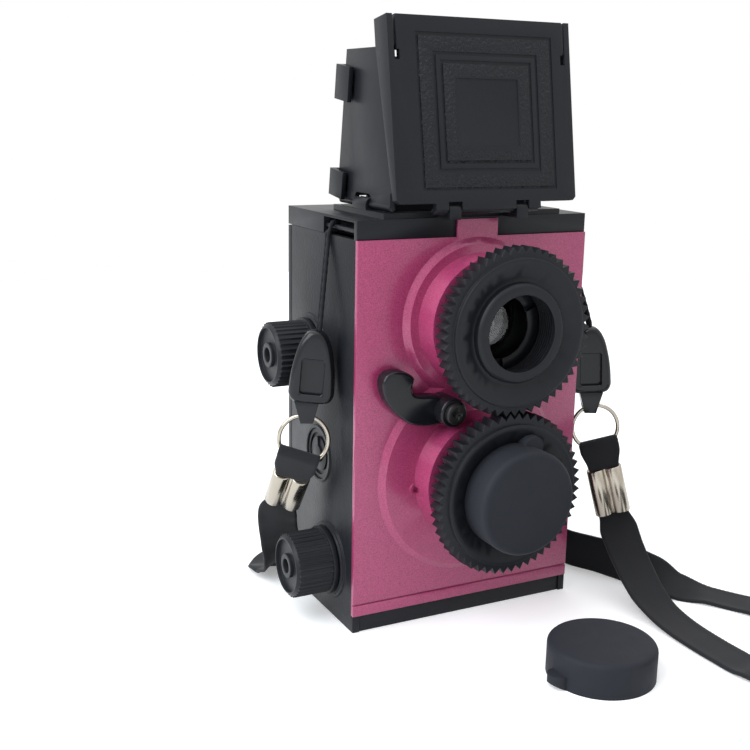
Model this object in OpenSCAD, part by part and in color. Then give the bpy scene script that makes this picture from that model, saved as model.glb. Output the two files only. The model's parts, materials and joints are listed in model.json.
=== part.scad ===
// Small twin-lens film camera of moulded plastic, with a folding hood and a ribbon strap.
// Millimetres, +Z up, front towards -Y, origin on the floor under the middle of the body.

/* [Body] */
// Width across the side plates
body_w = 62; // [60:1:68]
// Depth from the front plate to the back cover
body_d = 40; // [39:0.5:44]
// Height up to the top cover
body_h = 99; // [98.5:0.5:103]
// Thickness of the side plates and the top cover
wall = 1.8; // [1.5:0.1:2]
// Thickness of the painted front plate
front_t = 1.2; // [1:0.1:1.4]
// Thickness of the back cover
back_t = 2; // [1.8:0.1:2.2]
// Height of the top cover
top_h = 4.5; // [4.3:0.1:5]
// Height of the strip under the front plate
strip_h = 4.3; // [3.8:0.1:4.6]

/* [Lenses] */
// Height of the taking lens
taking_z = 37; // [36:0.5:38]
// Distance between the two lens axes, which the gears share
lens_pitch = 38; // [37.8:0.1:38.4]
// Teeth on each focus gear
gear_teeth = 52; // [40:4:60]
// Tip radius of the focus gears
gear_r = 19.4; // [19.2:0.1:19.5]
// Depth of a gear tooth
tooth_h = 1.5; // [1.2:0.1:1.6]
// Distance from the front plate to the gear's back face
gear_out = 14.7; // [14:0.1:16]
// Thickness of the toothed rim
gear_t = 4.1; // [3.5:0.1:5]
// Radius of the front hole of a lens ring
lens_hole_r = 8.7; // [8:0.1:9]
// Height of a rubber lens cap
cap_h = 8; // [7:0.1:9]

/* [Knobs] */
// Radius of the two knobs over the flutes
knob_r = 8; // [7.5:0.1:8.4]
// Length of a knob
knob_l = 10.4; // [9:0.1:12]
// Flutes round a knob
knob_flutes = 36; // [24:2:48]
// Place of the winding knob behind the middle of the body
wind_y = 5.6; // [5:0.1:6]
// Height of the winding knob
wind_z = 64.5; // [64:0.1:66]
// Place of the rewind knob behind the middle of the body
rewind_y = -6; // [-6.4:0.1:-5]
// Height of the rewind knob
rewind_z = 14.2; // [13.8:0.1:15]

/* [Hood] */
// Width of the hood lid
lid_w = 48; // [47:0.5:50]
// Length of the hood lid
lid_l = 41; // [40:0.5:44]
// Lean of the lid from upright
lid_lean = 9.5; // [8:0.5:11]
// Lean of the back panel from upright
rear_lean = 7.3; // [6:0.1:9]
// Height of the hood's side panels above the top cover
hood_h = 37.5; // [35:0.5:38]

/* [Strap] */
// Width of the ribbon
ribbon_w = 10; // [9:0.5:10]
// Thickness of the ribbon
ribbon_t = 1; // [0.8:0.1:1]
// Radius of the thin cord that ties a buckle to its lug
cord_r = 0.5; // [0.4:0.05:0.5]
// Width of a strap buckle
buckle_w = 10.7; // [9.5:0.1:11]
// Height of a strap buckle
buckle_h = 17.5; // [16.5:0.1:18]
// Radius of a split ring to the middle of its wire
ring_r = 5.9; // [5.7:0.1:6.2]

/* [Hidden] */
$fn = 64;

// Clearances: overrun of cuts, free gap between bodies, running fit of a shaft, and seat of a fixed piece
over = 1;
gap = 0.3;
run_gap = 0.06;
fit = 0.03;

// Planes of the body
half_w = body_w / 2;
side_in = half_w - wall;
front_y = -body_d / 2;
back_y = body_d / 2;
shell_front = front_y + front_t;
shell_back = back_y - back_t;
top_z = body_h - top_h;
ceiling_z = body_h - wall;
viewing_z = taking_z + lens_pitch;
edge_inset = 0.5;
lip_inset = 0.2;
floor_t = 1.2;

// Front plate: stages round the lenses, collars, tongue and groove
stage_h = 1.2;
upper_stage_r = 19.4;
lower_stage_r = 25;
stage_bevel = 1.5;
stage_y = front_y - stage_h;
collar_r = 15.8;
collar_out = 8;
collar_y = front_y - collar_out;
tongue_w = 11;
tongue_h = 4.1;
groove_up = 2.7;
groove_w = 0.5;
groove_d = 0.4;
dot_r = 1.6;
dot_h = 0.5;
dot_x = -15.5;
dot_z = 35;

// Lens board with the two guide tubes
board_seat = 0.1;
board_t = 2.2;
board_foot = 15.5;
board_y0 = shell_front + board_seat;
board_y1 = board_y0 + board_t;
board_z0 = taking_z - board_foot;
board_side_gap = 0.2;
board_top_gap = 2.5;
tube_r = 13.4;
tube_in = 11.7;
tube_out = 13;
tube_y = front_y - tube_out;
tube_gap = 0.1;

// Focus rings, in distances ahead of the middle plane
sleeve_r = tube_in - run_gap;
ring_bore = 10;
sleeve_d = -front_y;
gear_d0 = -front_y + gear_out;
gear_d1 = gear_d0 + gear_t;
boss_r = 16.9;
boss_h = 1;
boss_d = gear_d1 + boss_h;
dish_r = 15.6;
dish_in = 12.4;
dish_deep = 1.7;
nose_r = 11.4;
nose_h = 1.6;
nose_d = gear_d1 + nose_h;
nose_round = 0.7;
lip_t = 1.2;
gear_root = gear_r - tooth_h;
lens_seat = 8;
lens_d = sleeve_d + lens_seat;
lens_play = 0.05;
lens_r = ring_bore - lens_play;
lens_edge = 2;
lens_dome = 26;
lens_hollow = 40;
retainer_t = 1.8;
retainer_in = 7.4;
retainer_notch = 1.4;
retainer_notches = 3;

// Rubber caps
cap_t = 0.9;
cap_play = 0.05;
cap_in = nose_r + cap_play;
cap_r = cap_in + cap_t;
cap_seat = 0.3;
cap_top = 2;
cap_round = 1.4;
cap_steps = 5;
cap_tab_r = 2.5;
cap_tab_h = 3.2;
cap_d = boss_d - dish_deep + cap_seat;
loose_cap_x = 11.5;
loose_cap_y = -60.7;
loose_cap_turn = 184;
seat_cap_turn = 72;

// Release lever, its screw, the cam and the shutter blade
lever_x = -10;
lever_z = 55;
hub_r = 3.4;
hub_out = 8.8;
hub_y = front_y - hub_out;
lever_t = 3.4;
lever_off = 0.8;
lever_y1 = stage_y - lever_off;
pad_r = 4.2;
pad_dx = -12.1;
pad_dz = 6;
arm_outline = [[-14.9, 1.2], [-13, -1.7], [-9.3, -2.9], [0, -3.1], [0, 3.1], [-6.8, 3.5], [-8.9, 4.6]];
lever_notch_r = 2.1;
lever_notch_dx = -6.9;
lever_notch_dz = 6.2;
pivot_r = 2.4;
screw_r = 1.2;
screw_head_r = 2.5;
screw_head_h = 1.4;
screw_slot = 0.7;
cam_t = 0.8;
cam_gap = 0.2;
cam_y0 = board_y1 + cam_gap;
cam_r = 3;
cam_l = 6;
cam_w = 2;
cam_turn = -30;
blade_t = 0.5;
blade_y0 = cam_y0 + cam_t + gap;
blade_x = -11;
blade_up = 9.5;
blade_z = taking_z + blade_up;
blade_r = 5.2;
blade_hub_r = 2.2;
blade_arm_w = 3;
blade_pin_r = 1;
blade_reach = sqrt(blade_x * blade_x + blade_up * blade_up);
aperture_y0 = blade_y0 + blade_t + gap;
aperture_t = 0.8;
aperture_r = 2.5;
aperture_w = 35;
aperture_h = 24;
post_r = 1.3;
post_inset = 1.5;
spring_x = -22;
spring_z0 = 44;
spring_z1 = 56;
spring_r = 1.1;
spring_wire = 0.28;
spring_turns = 9;
spring_out = 2.4;
peg_r = 0.6;

// Dark box, film gate and rails
box_t = 0.8;
box_seat = 0.1;
box_y0 = aperture_y0 + aperture_t + box_seat;
gate_y0 = 11;
gate_t = 1.6;
rail_h = 0.4;
rail_w = 1.8;
film_y = gate_y0 + gate_t + rail_h;
frame_w = 24;
frame_h = 34;
gate_margin = 1.6;
throat_h = 11;
gate_z0 = taking_z - frame_h / 2 - gate_margin;
gate_z1 = taking_z + frame_h / 2 + gate_margin;

// Mirror, its shelf and the focusing screen
mirror_y = -4;
mirror_w = 30;
mirror_lo = 15;
mirror_hi = 17;
mirror_t = 1.5;
mirror_tilt = 45;
shelf_t = 1.6;
shelf_more = 1;
screen_t = 1.5;
screen_lip = 2;
window_w = 30;
window_y0 = -15;
window_y1 = 7;

// Knobs, shafts, spool and ratchet
base_r = 9.6;
base_t = 0.5;
base_step_r = 8.8;
base_step_t = 0.4;
knob_d0 = half_w + base_t + base_step_t + gap;
knob_d1 = knob_d0 + knob_l;
flange_r = 8.5;
flange_t = 1.2;
flute_h = 0.45;
knob_round = 0.7;
knob_rim = 1.5;
knob_recess = 1;
knob_hub_r = 3;
knob_hole_r = 1.8;
knob_hole_l = 2.5;
shaft_r = 3;
shaft_grip = 6;
bearing_r = 5;
bearing_l = 1.4;
spool_w = 35.8;
spool_core_r = 5;
spool_r = 7.5;
spool_flange = 1;
spool_slot = 1.2;
ratchet_d = 25.6;
ratchet_t = 2;
ratchet_r = 6.4;
ratchet_root = 5.3;
ratchet_teeth = 12;
pawl_t = 1;
pawl_l = 8;
pawl_gap = 0.3;
pawl_foot = 3;
fork_d = 21;
fork_l = 4;
fork_t = 1.6;

// Counter dial and the toothed wheel that the film turns
dial_y = 0.6;
dial_z = 39.6;
dial_r = 6.3;
dial_rim = 0.9;
dial_rim_h = 0.4;
dial_flange_r = 7.4;
dial_flange_t = 0.8;
dial_hub_r = 2.2;
dial_hub_h = 0.5;
dial_groove = 1;
dial_groove_d = 0.5;
pointer_w = 0.8;
wheel_d = 15.8;
wheel_t = 1.4;
wheel_shaft_r = 2;
wheel_teeth = 16;
wheel_gap = 0.3;
wheel_r = film_y - dial_y - wheel_gap;
wheel_tooth = 1.1;
wheel_tooth_w = 1.3;
wheel_slot = 1.2;

// Top cover: curb and hinge clips of the hood, lug recesses
curb_h = 1.2;
curb_w = 48;
curb_y0 = -18.5;
curb_y1 = 8.2;
curb_t = 3.4;
rod_r = 0.8;
clip_r = 1.6;
clip_slot = 1.1;
clip_l = 7;
clip_y = -5;
arm_clip_x = 9;
arm_clip_l = 3;
arm_h = 1.3;
lug_y0 = -18;
lug_y1 = -1.5;
lug_top = 0.6;
lug_deep = 4;
lug_wall = 1;
lug_pin_r = 0.6;
lug_pin_in = 1.2;
lug_pin_up = 1.8;
lug_pin_z = top_z + lug_pin_up;
lug_pin_seat = 0.8;

// Hood panels
lid_t = 1.5;
lid_front = 1.8;
lid_ahead = 3.2;
lid_axis_y = front_y - lid_ahead;
hinge_up = 1.9;
lid_axis_z = body_h + hinge_up;
lid_foot = 1.6;
lid_chamfer = 0.8;
lid_rod_w = 28;
lid_flange_t = 1.1;
lid_flange_top = 6;
lid_flange_foot = 2;
lid_slit_in = 2.1;
lid_slit_w = 0.7;
lid_slit_l = 7.5;
lid_notch_w = 1.3;
lid_notch_l = 2.2;
relief_line = 0.7;
relief_d = 0.3;
relief_mid = 20.1;
relief_x = 0.8;
relief_outer = [36, 34.7];
relief_middle = [27.5, 26.4];
relief_inner = [24, 22.8];
relief_centre = [16.4, 15];
side_t = 1.2;
side_inset = 2;
side_x = lid_w / 2 - side_inset;
left_hinge_up = 2.4;
right_hinge_more = 1.7;
left_hinge_z = body_h + left_hinge_up;
right_hinge_z = left_hinge_z + right_hinge_more;
side_top_z = body_h + hood_h;
side_rod_y0 = -18.8;
side_rod_y1 = 7.6;
side_foot = 3;
side_window = 8.4;
side_window_h = 2.4;
hood_gap = 0.4;
rear_t = 1.2;
rear_axis_y = 10.2;
rear_w = 41.2;
rear_l = 33.5;
rear_foot = 1.2;
hook_t = 1.1;
hook_l = 6;
hook_spans = [[1.6, 8], [24.5, 32.5]];
hook_gap = 0.6;

// Back cover, its hinge, latch and pressure plate
cover_gap = 0.3;
cover_z0 = 1.8;
pin_r = 0.6;
knuckle_r = 1.3;
hinge_out = 1;
hinge_x = half_w + hinge_out;
hinge_y = back_y - back_t / 2;
knuckle_l = 16;
knuckle_z0 = 8;
knuckles = 5;
knuckle_arm = 2;
rib_w = 1.2;
rib_h = 1.1;
rib_x = 27;
rib_in = 4.5;
plate_t = 1;
plate_w = 35;
plate_h = 44;
plate_gap = 0.4;
bow = 2.6;
bow_half = 16;
bow_w = 12;
bow_t = 0.4;
bow_seat = 0.05;
latch_z = 47;
latch_h = 12;
latch_w = 8;
latch_t = 1.5;
latch_x = -29;
latch_stem_w = 2;
latch_stem_h = 5;
latch_stem_x = -25.2;
latch_travel = 1.5;
latch_tongue_t = 1.2;
latch_tongue_out = 1.3;
latch_ribs = 4;
latch_rib = 0.5;
catch_w = 1.2;
catch_t = 1;

// Tripod nut and case screws
nut_y = 12;
nut_r = 6;
nut_h = 5;
thread_r = 3.175;
nut_boss_r = 8;
nut_gap = 0.05;
case_screw_r = 0.9;
case_head_r = 2;
case_head_h = 1.2;
case_screw_in = 0.6;
case_screw_x = 25;
case_screw_inset = 3.5;

// Strap pieces, each side hung from its split ring
left_ring = [-38.7, -7.8, 46.35];
left_hang = 0.8;
left_lean = 4.6;
left_turn = [37, 17, -26.7];
right_ring = [39.3, -18.25, 43.2];
right_hang = -1.8;
right_lean = -3.3;
right_turn = [0, -15, -26.8];
wire_r = 0.5;
left_buckle = [-37.4, -8.7, 55.6];
right_buckle = [37.5, -17.3, 52.5];
buckle_t = 4.6;
buckle_top_share = 0.3;
buckle_foot_share = 0.42;
buckle_wide_share = 0.2;
buckle_recess = 0.7;
buckle_window_shares = [0.5, 0.42, 0.16];
plug_w = 6;
plug_tip_w = 3;
plug_h = 6;
plug_t = 3.4;
plug_eye_r = 0.95;
plug_seat = 0.05;
loop_t = 0.8;
loop_in = 0.75;
loop_up = 2.9;
loop_down = 5.4;
ferrule_l = 12.8;
ferrule_tube_r = 2.3;
ferrule_half = 2.3;

// Routes of the thin cord loops
left_cord_route = [
  [-35.7, -10, 72], [-35.45, -9.95, 74.2], [-34.5, -8.95, 79], [-33.6, -7.9, 83.5], [-32.6, -6.75, 88.5],
  [-31.8, -5.85, 92.5], [-31.6, -5.6, 94.2], [-31.3, -5.58, 95.4], [-30.95, -5.5, 96.3],
  [-30.61, -5.42, 97.11], [-29.8, -5.3, 97.45], [-28.99, -5.1, 97.11], [-28.65, -4.95, 96.3],
  [-28.99, -4.8, 95.49], [-29.8, -4.65, 95.15], [-31, -4.55, 95.1], [-31.45, -4.53, 94.85],
  [-31.6, -4.52, 94.3], [-31.8, -4.8, 92.5], [-32.6, -5.68, 88.5], [-33.6, -6.83, 83.5], [-34.5, -7.88, 79],
  [-35.45, -8.88, 74.2], [-35.7, -8.95, 72]
];
right_cord_route = [
  [36.7, -17.3, 69], [36.5, -17, 71], [35.6, -15, 77], [34.3, -12.4, 84], [32.9, -9.8, 90.5],
  [31.7, -8.6, 94], [31.3, -8.55, 95.4], [30.95, -8.5, 96.3], [30.61, -8.42, 97.11], [29.8, -8.3, 97.45],
  [28.99, -8.1, 97.11], [28.65, -7.95, 96.3], [28.99, -7.8, 95.49], [29.8, -7.65, 95.15], [31, -7.55, 95.1],
  [31.45, -7.53, 94.85], [31.7, -7.5, 94.1], [32.9, -8.75, 90.5], [34.3, -11.3, 84], [35.6, -13.9, 77],
  [36.5, -15.9, 71], [36.7, -16.2, 69]
];
// Routes of the ribbon: place, then the way that its width points
left_route = [
  [-39.12, 4.67, 26.81, 0.854, -0.43, -0.292], [-39.2, 7.6, 22.9, 0.86, -0.46, -0.2],
  [-38.2, 10, 18.6, 0.88, -0.46, 0.06], [-36.9, 12, 14, 0.8, -0.4, 0.44], [-35.9, 14.2, 9.8, 0.62, -0.3, 0.72],
  [-35.7, 17, 6.4, 0.58, -0.28, 0.76], [-35.7, 20.6, 3.6, 0.74, -0.34, 0.58],
  [-35.6, 24.8, 1.2, 0.82, -0.56, 0.1], [-31.5, 29.8, 0.6, 0.6, -0.8, 0], [-24.5, 34, 0.6, 0.4, -0.92, 0],
  [-16, 36.4, 0.6, 0.15, -1, 0], [-6, 37.5, 0.6, 0, -1, 0],
  [6, 37.2, 0.6, -0.05, -1, 0], [17, 35.6, 0.6, -0.25, -0.97, 0], [26, 32.6, 0.6, -0.42, -0.9, 0],
  [33.5, 28, 0.7, -0.7, -0.7, 0], [38.5, 22, 0.8, -0.87, -0.49, 0.02], [40.6, 14, 3.4, -0.8, -0.12, 0.57],
  [41, 4, 5.2, -0.26, 0, 0.97], [41.7, -6.6, 5.2, 0, 0, 1], [45.2, -13.8, 5.2, 0, 0, 1],
  [48.9, -20.4, 5, 0.2, 0.1, 0.97], [52.5, -28.2, 4.2, 0.6, 0.3, 0.74], [56.6, -34.6, 2, 0.84, 0.45, 0.28],
  [62.4, -41.2, 0.8, 0.78, 0.62, 0], [67.7, -49.8, 0.8, 0.86, 0.5, 0], [70, -58, 3, 0.86, 0.1, 0.5],
  [67.5, -68, 5.4, 0.37, -0.2, 0.9], [61.6, -77.5, 5.9, 0, 0, 1], [55, -86.5, 5.9, 0, 0, 1],
  [51.5, -93.5, 5.9, 0, 0, 1], [50.7, -99, 5.9, 0, 0, 1]
];
right_route = [
  [44.9, -21.05, 19.9, 0.86, -0.435, 0.26], [45.5, -22.8, 16.1, 0.88, -0.4, 0.2],
  [45, -26.7, 12.2, 0.93, -0.3, 0.12], [44.1, -32.2, 8.1, 0.97, -0.2, 0.08],
  [42.9, -38.8, 4.6, 0.99, -0.1, 0.05], [42.6, -45, 2.2, 1, 0, 0], [42.5, -52, 1, 1, 0, 0],
  [42.4, -60, 0.7, 1, 0, 0], [42.5, -68, 0.7, 1, 0, 0], [42.9, -74.7, 0.9, 1, 0.1, 0],
  [44.2, -82, 3.4, 0.8, 0.1, 0.57], [45.7, -90, 5.4, 0.26, 0, 0.97], [46.4, -99, 5.9, 0, 0, 1]
];
// Coil of the spare ribbon, which stands on its edge: two arms wound together from an S in the middle
coil_x = 95;
coil_y = -99;
coil_z = 5.9;
coil_r = 40;
coil_pitch = 8.6;
coil_right_turns = 1;
coil_left_turns = 0.5;
coil_rings = 24;
tie_t = 0.6;
tie_w = 7;
tie_gap = 0.3;
tie_slack = 0.9;

// Solids along the axes
module block(x0, x1, y0, y1, z0, z1) {
  translate([x0, y0, z0]) cube([x1 - x0, y1 - y0, z1 - z0]);
}

module rod_x(r, x0, x1, y, z) {
  translate([x0, y, z]) rotate([0, 90, 0]) cylinder(r = r, h = x1 - x0);
}

module rod_y(r, y0, y1, x, z) {
  translate([x, y1, z]) rotate([90, 0, 0]) cylinder(r = r, h = y1 - y0);
}

module rod_z(r, z0, z1, x, y) {
  translate([x, y, z0]) cylinder(r = r, h = z1 - z0);
}

// A flat outline drawn in x and z, as thick as from y0 to y1
module plate_y(y0, y1) {
  translate([0, y1, 0]) rotate([90, 0, 0]) linear_extrude(y1 - y0) children();
}

// A flat outline drawn in y and z, as thick as from x0 to x1
module plate_x(x0, x1) {
  translate([x0, 0, 0]) rotate([90, 0, 90]) linear_extrude(x1 - x0) children();
}

// A profile of radius and distance ahead, turned round a lens axis
module turned_ahead(z) {
  translate([0, 0, z]) rotate([90, 0, 0]) rotate_extrude() children();
}

// A profile of radius and distance to the left, turned round a shaft
module turned_left(y, z) {
  translate([0, y, z]) rotate([0, -90, 0]) rotate_extrude() children();
}

// The same piece on the other side
module both_sides() {
  children();
  mirror([1, 0, 0]) children();
}

module ring_flat(outer, inner) {
  difference() {
    circle(r = outer);
    circle(r = inner);
  }
}

// Pointed teeth all round, with a tooth at phase degrees
module toothed(count, tip, root, phase) {
  polygon([
    for (i = [0:2 * count - 1])
      let (a = phase + i * 180 / count, r = i % 2 == 0 ? tip : root)
        [r * cos(a), r * sin(a)]
  ]);
}

// Sweep of a flat or round section along points, each with the direction that its width takes
function unit(v) = v / norm(v);
function at3(row) = [row[0], row[1], row[2]];
function heading(path, i) =
  unit(path[min(i + 1, len(path) - 1)] - path[max(i - 1, 0)]);
function across(t, w) = unit(w - t * (w * t));
function section_at(path, widths, i, section) =
  let (t = heading(path, i), w = across(t, widths[i]), n = cross(t, w))
    [for (s = section) path[i] + w * s[0] + n * s[1]];

module sweep(path, widths, section) {
  sides = len(section);
  last = len(path) - 1;
  points = [for (i = [0:last]) each section_at(path, widths, i, section)];
  skin = [
    for (i = [0:last - 1])
      for (j = [0:sides - 1])
        let (a = i * sides + j, b = i * sides + (j + 1) % sides)
          each [[a, b, b + sides], [a, b + sides, a + sides]]
  ];
  near_end = [for (j = [1:sides - 2]) [0, j + 1, j]];
  far_end = [for (j = [1:sides - 2]) [last * sides, last * sides + j, last * sides + j + 1]];
  polyhedron(points = points, faces = [for (f = concat(skin, near_end, far_end)) [f[2], f[1], f[0]]]);
}

function round_section(r, sides) = [for (j = [0:sides - 1]) [r * cos(360 * j / sides), r * sin(360 * j / sides)]];
function flat_section(w, t) = [
  [-w / 2, 0], [t / 2 - w / 2, -t / 2], [w / 2 - t / 2, -t / 2], [w / 2, 0], [w / 2 - t / 2, t / 2], [t / 2 - w / 2, t / 2]
];

// Coil points, from the right run's end through the S to the left run's end
function coil_arm(turns, share, start) =
  let (t = turns * share, a = start - 360 * t, r = coil_r + coil_pitch * t)
    [coil_x + r * cos(a), coil_y + r * sin(a), coil_z];
function coil_bend(side, a) =
  [coil_x + side * coil_r / 2 + coil_r / 2 * cos(a), coil_y + coil_r / 2 * sin(a), coil_z];
function coil_path() =
  let (right = coil_rings * coil_right_turns, left = coil_rings * coil_left_turns, half = coil_rings / 2)
    concat(
      [for (i = [0:right]) coil_arm(coil_right_turns, 1 - i / right, 180)],
      [for (i = [1:half]) coil_bend(-1, 180 + 180 * i / half)],
      [for (i = [1:half - 1]) coil_bend(1, 180 - 180 * i / half)],
      [for (i = [0:left]) coil_arm(coil_left_turns, i / left, 0)]
    );
function coil_gap(path, apart) = min([
  for (i = [0:len(path) - 1])
    for (j = [i + apart:1:len(path) - 1])
      norm(path[i] - path[j]) - ribbon_t
]);
echo(coil_least_gap = coil_gap(coil_path(), 4));

// Lug recess of the top cover, drawn for the left
module lug_cut() {
  block(-half_w - over, lug_deep - half_w, lug_y0, lug_y1, top_z - over, body_h - lug_top);
}

module side_outline() {
  translate([shell_front, 0]) square([shell_back - shell_front, top_z]);
  translate([front_y + lip_inset, 0]) square([front_t - lip_inset, strip_h]);
}

// Front plate with its stages, collars and tongue
module stage(z, r) {
  translate([0, front_y, z]) rotate([90, 0, 0]) cylinder(r1 = r, r2 = r - stage_bevel, h = stage_h);
}

module front_plate() {
  color("hotpink")
  difference() {
    union() {
      plate_y(front_y, shell_front) {
        translate([-half_w, strip_h]) square([body_w, top_z - strip_h]);
        translate([-tongue_w / 2, top_z]) square([tongue_w, tongue_h]);
      }
      stage(viewing_z, upper_stage_r);
      stage(taking_z, lower_stage_r);
      rod_y(collar_r, collar_y, front_y, 0, viewing_z);
      rod_y(collar_r, collar_y, front_y, 0, taking_z);
      rod_y(dot_r, stage_y - dot_h, stage_y, dot_x, dot_z);
    }
    for (z = [viewing_z, taking_z])
      rod_y(tube_r + tube_gap, collar_y - over, shell_front + over, 0, z);
    rod_y(pivot_r + run_gap, stage_y - over, shell_front + over, lever_x, lever_z);
    rod_y(dot_r / 2, stage_y - dot_h - over, stage_y, dot_x, dot_z);
    block(-half_w - over, half_w + over, front_y - over, front_y + groove_d,
      strip_h + groove_up, strip_h + groove_up + groove_w);
    case_screw_places() rod_y(case_screw_r + fit, board_y0 - case_screw_in - fit, board_y0, 0, 0);
  }
}

module left_side_plate() {
  color("#262626")
  difference() {
    union() {
      plate_x(-half_w, -side_in) side_outline();
      for (axis = [[wind_y, wind_z], [rewind_y, rewind_z]]) {
        rod_x(base_r, -half_w - base_t, -half_w, axis[0], axis[1]);
        rod_x(base_step_r, -half_w - base_t - base_step_t, -half_w, axis[0], axis[1]);
        rod_x(bearing_r, -side_in, bearing_l - side_in, axis[0], axis[1]);
      }
      rod_x(dial_r + dial_rim, -half_w - dial_rim_h, -half_w, dial_y, dial_z);
      block(-side_in, catch_w - side_in, catch_y, catch_y + catch_t,
        latch_z - latch_h / 2, latch_z + latch_h / 2);
    }
    for (axis = [[wind_y, wind_z], [rewind_y, rewind_z]])
      rod_x(shaft_r + run_gap, -half_w - base_t - base_step_t - over, bearing_l - side_in + over, axis[0], axis[1]);
    rod_x(dial_r + run_gap, -half_w - dial_rim_h - over, over - side_in, dial_y, dial_z);
  }
}

module right_side_plate() {
  color("#262626")
  difference() {
    union() {
      plate_x(side_in, half_w) side_outline();
      rod_x(bearing_r, spool_w / 2 + gap, side_in, wind_y, wind_z);
      for (i = [0:2:knuckles - 1]) knuckle(i, 0) block(half_w, hinge_x, shell_back - knuckle_arm, hinge_y, 0, knuckle_l);
    }
    rod_x(shaft_r + run_gap, spool_w / 2, side_in - wall, wind_y, wind_z);
    hinge_bore();
  }
}

// One knuckle of the back hinge, with the web that carries it
module knuckle(i, play) {
  translate([0, 0, knuckle_z0 + i * knuckle_l]) {
    rod_z(knuckle_r, play, knuckle_l - play, hinge_x, hinge_y);
    children();
  }
}

module hinge_bore() {
  rod_z(pin_r + run_gap, 0, body_h, hinge_x, hinge_y);
}

module bottom_plate() {
  color("#262626")
  difference() {
    union() {
      block(-side_in, side_in, front_y + edge_inset, shell_back, 0, floor_t);
      block(-side_in, side_in, front_y + edge_inset, shell_front, 0, strip_h);
      block(-side_in, side_in, shell_back - wall, shell_back, 0, strip_h);
      rod_z(nut_boss_r, 0, nut_h + floor_t, 0, nut_y);
    }
    translate([0, nut_y, -over]) cylinder(r = nut_r + nut_gap, h = nut_h + over, $fn = 6);
    block(-side_in, side_in, shell_back, shell_back + nut_boss_r, -over, nut_h + 2 * over);
  }
}

module tripod_nut() {
  color("goldenrod")
  difference() {
    translate([0, nut_y, 0]) cylinder(r = nut_r, h = nut_h, $fn = 6);
    rod_z(thread_r, -over, nut_h + over, 0, nut_y);
  }
}

// A hinge clip that opens upwards, on its pedestal, round a rod along y
module clip_ring() {
  difference() {
    union() {
      circle(r = clip_r);
      translate([-clip_r, -clip_r - rod_r]) square([2 * clip_r, clip_r + rod_r]);
    }
    circle(r = rod_r + run_gap);
    translate([-clip_slot / 2, 0]) square([clip_slot, clip_r + over]);
  }
}

module side_clip(x, z) {
  translate([x, 0, z]) plate_y(clip_y - clip_l / 2, clip_y + clip_l / 2) clip_ring();
  block(x - clip_r, x + clip_r, clip_y - clip_l / 2, clip_y + clip_l / 2, body_h, z - clip_r);
}

module arm_clip(x, y, reach_y) {
  translate([x - arm_clip_l / 2, y, lid_axis_z]) plate_x(0, arm_clip_l)
    intersection() {
      clip_ring();
      translate([-clip_r, -hinge_up]) square([2 * clip_r, hinge_up + clip_r]);
    }
  block(x - arm_clip_l / 2, x + arm_clip_l / 2, min(y, reach_y), max(y, reach_y), body_h, body_h + arm_h - rod_r / 2);
}

module top_cover() {
  color("#262626")
  difference() {
    union() {
      difference() {
        block(-half_w, half_w, front_y + edge_inset, back_y, top_z, body_h);
        difference() {
          block(-side_in, side_in, shell_front, back_y - wall, top_z - over, ceiling_z);
          both_sides() block(-half_w, lug_deep + lug_wall - half_w, front_y, lug_y1 + lug_wall, top_z, body_h);
        }
      }
      difference() {
        block(-curb_w / 2, curb_w / 2, curb_y0, curb_y1, body_h - wall, body_h + curb_h);
        block(curb_t - curb_w / 2, curb_w / 2 - curb_t, curb_y0 + curb_t, curb_y1 - curb_t, body_h, body_h + curb_h + over);
      }
      side_clip(-side_x, left_hinge_z);
      side_clip(side_x, right_hinge_z);
      both_sides() arm_clip(arm_clip_x, lid_axis_y, curb_y0);
      both_sides() arm_clip(arm_clip_x, rear_axis_y, curb_y1);
    }
    block(-window_w / 2, window_w / 2, window_y0, window_y1, top_z - over, body_h + curb_h + over);
    block(-tongue_w / 2 - fit, tongue_w / 2 + fit, front_y, shell_front + fit, top_z - over, top_z + tongue_h + fit);
    both_sides() {
      lug_cut();
      rod_y(lug_pin_r + fit, lug_y0 - lug_pin_seat - fit, lug_y1 + lug_pin_seat + fit, lug_pin_in - half_w, lug_pin_z);
    }
  }
}

module strap_lug_pins() {
  color("silver")
  both_sides() rod_y(lug_pin_r, lug_y0 - lug_pin_seat, lug_y1 + lug_pin_seat, lug_pin_in - half_w, lug_pin_z);
}

module case_screw_places() {
  for (x = [-case_screw_x, case_screw_x])
    for (z = [board_z0 + case_screw_inset, top_z - board_top_gap - case_screw_inset])
      translate([x, 0, z]) children();
}

module case_screws() {
  color("silver")
  case_screw_places()
  difference() {
    union() {
      rod_y(case_screw_r, board_y0 - case_screw_in, board_y1, 0, 0);
      rod_y(case_head_r, board_y1, board_y1 + case_head_h, 0, 0);
    }
    block(-case_head_r - over, case_head_r + over, board_y1 + case_head_h / 2, board_y1 + case_head_h + over,
      -screw_slot / 2, screw_slot / 2);
  }
}

module lens_board() {
  color("#1c1c1c")
  difference() {
    union() {
      block(board_side_gap - side_in, side_in - board_side_gap, board_y0, board_y1, board_z0, top_z - board_top_gap);
      for (z = [viewing_z, taking_z]) rod_y(tube_r, tube_y, board_y0, 0, z);
      aperture_posts() rod_y(post_r, board_y1, aperture_y0, 0, 0);
      rod_y(blade_pin_r, board_y1, aperture_y0 - gap / 2, blade_x, blade_z);
      for (z = [spring_z0 - spring_r - peg_r, spring_z1 + spring_r + peg_r])
        rod_y(peg_r, board_y1, board_y1 + 2 * spring_out, spring_x, z);
    }
    for (z = [viewing_z, taking_z]) rod_y(tube_in, tube_y - over, board_y1 + over, 0, z);
    rod_y(pivot_r + run_gap, board_y0 - over, board_y1 + over, lever_x, lever_z);
    case_screw_places() rod_y(case_screw_r + fit, board_y0 - over, board_y1 + over, 0, 0);
  }
}

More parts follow.
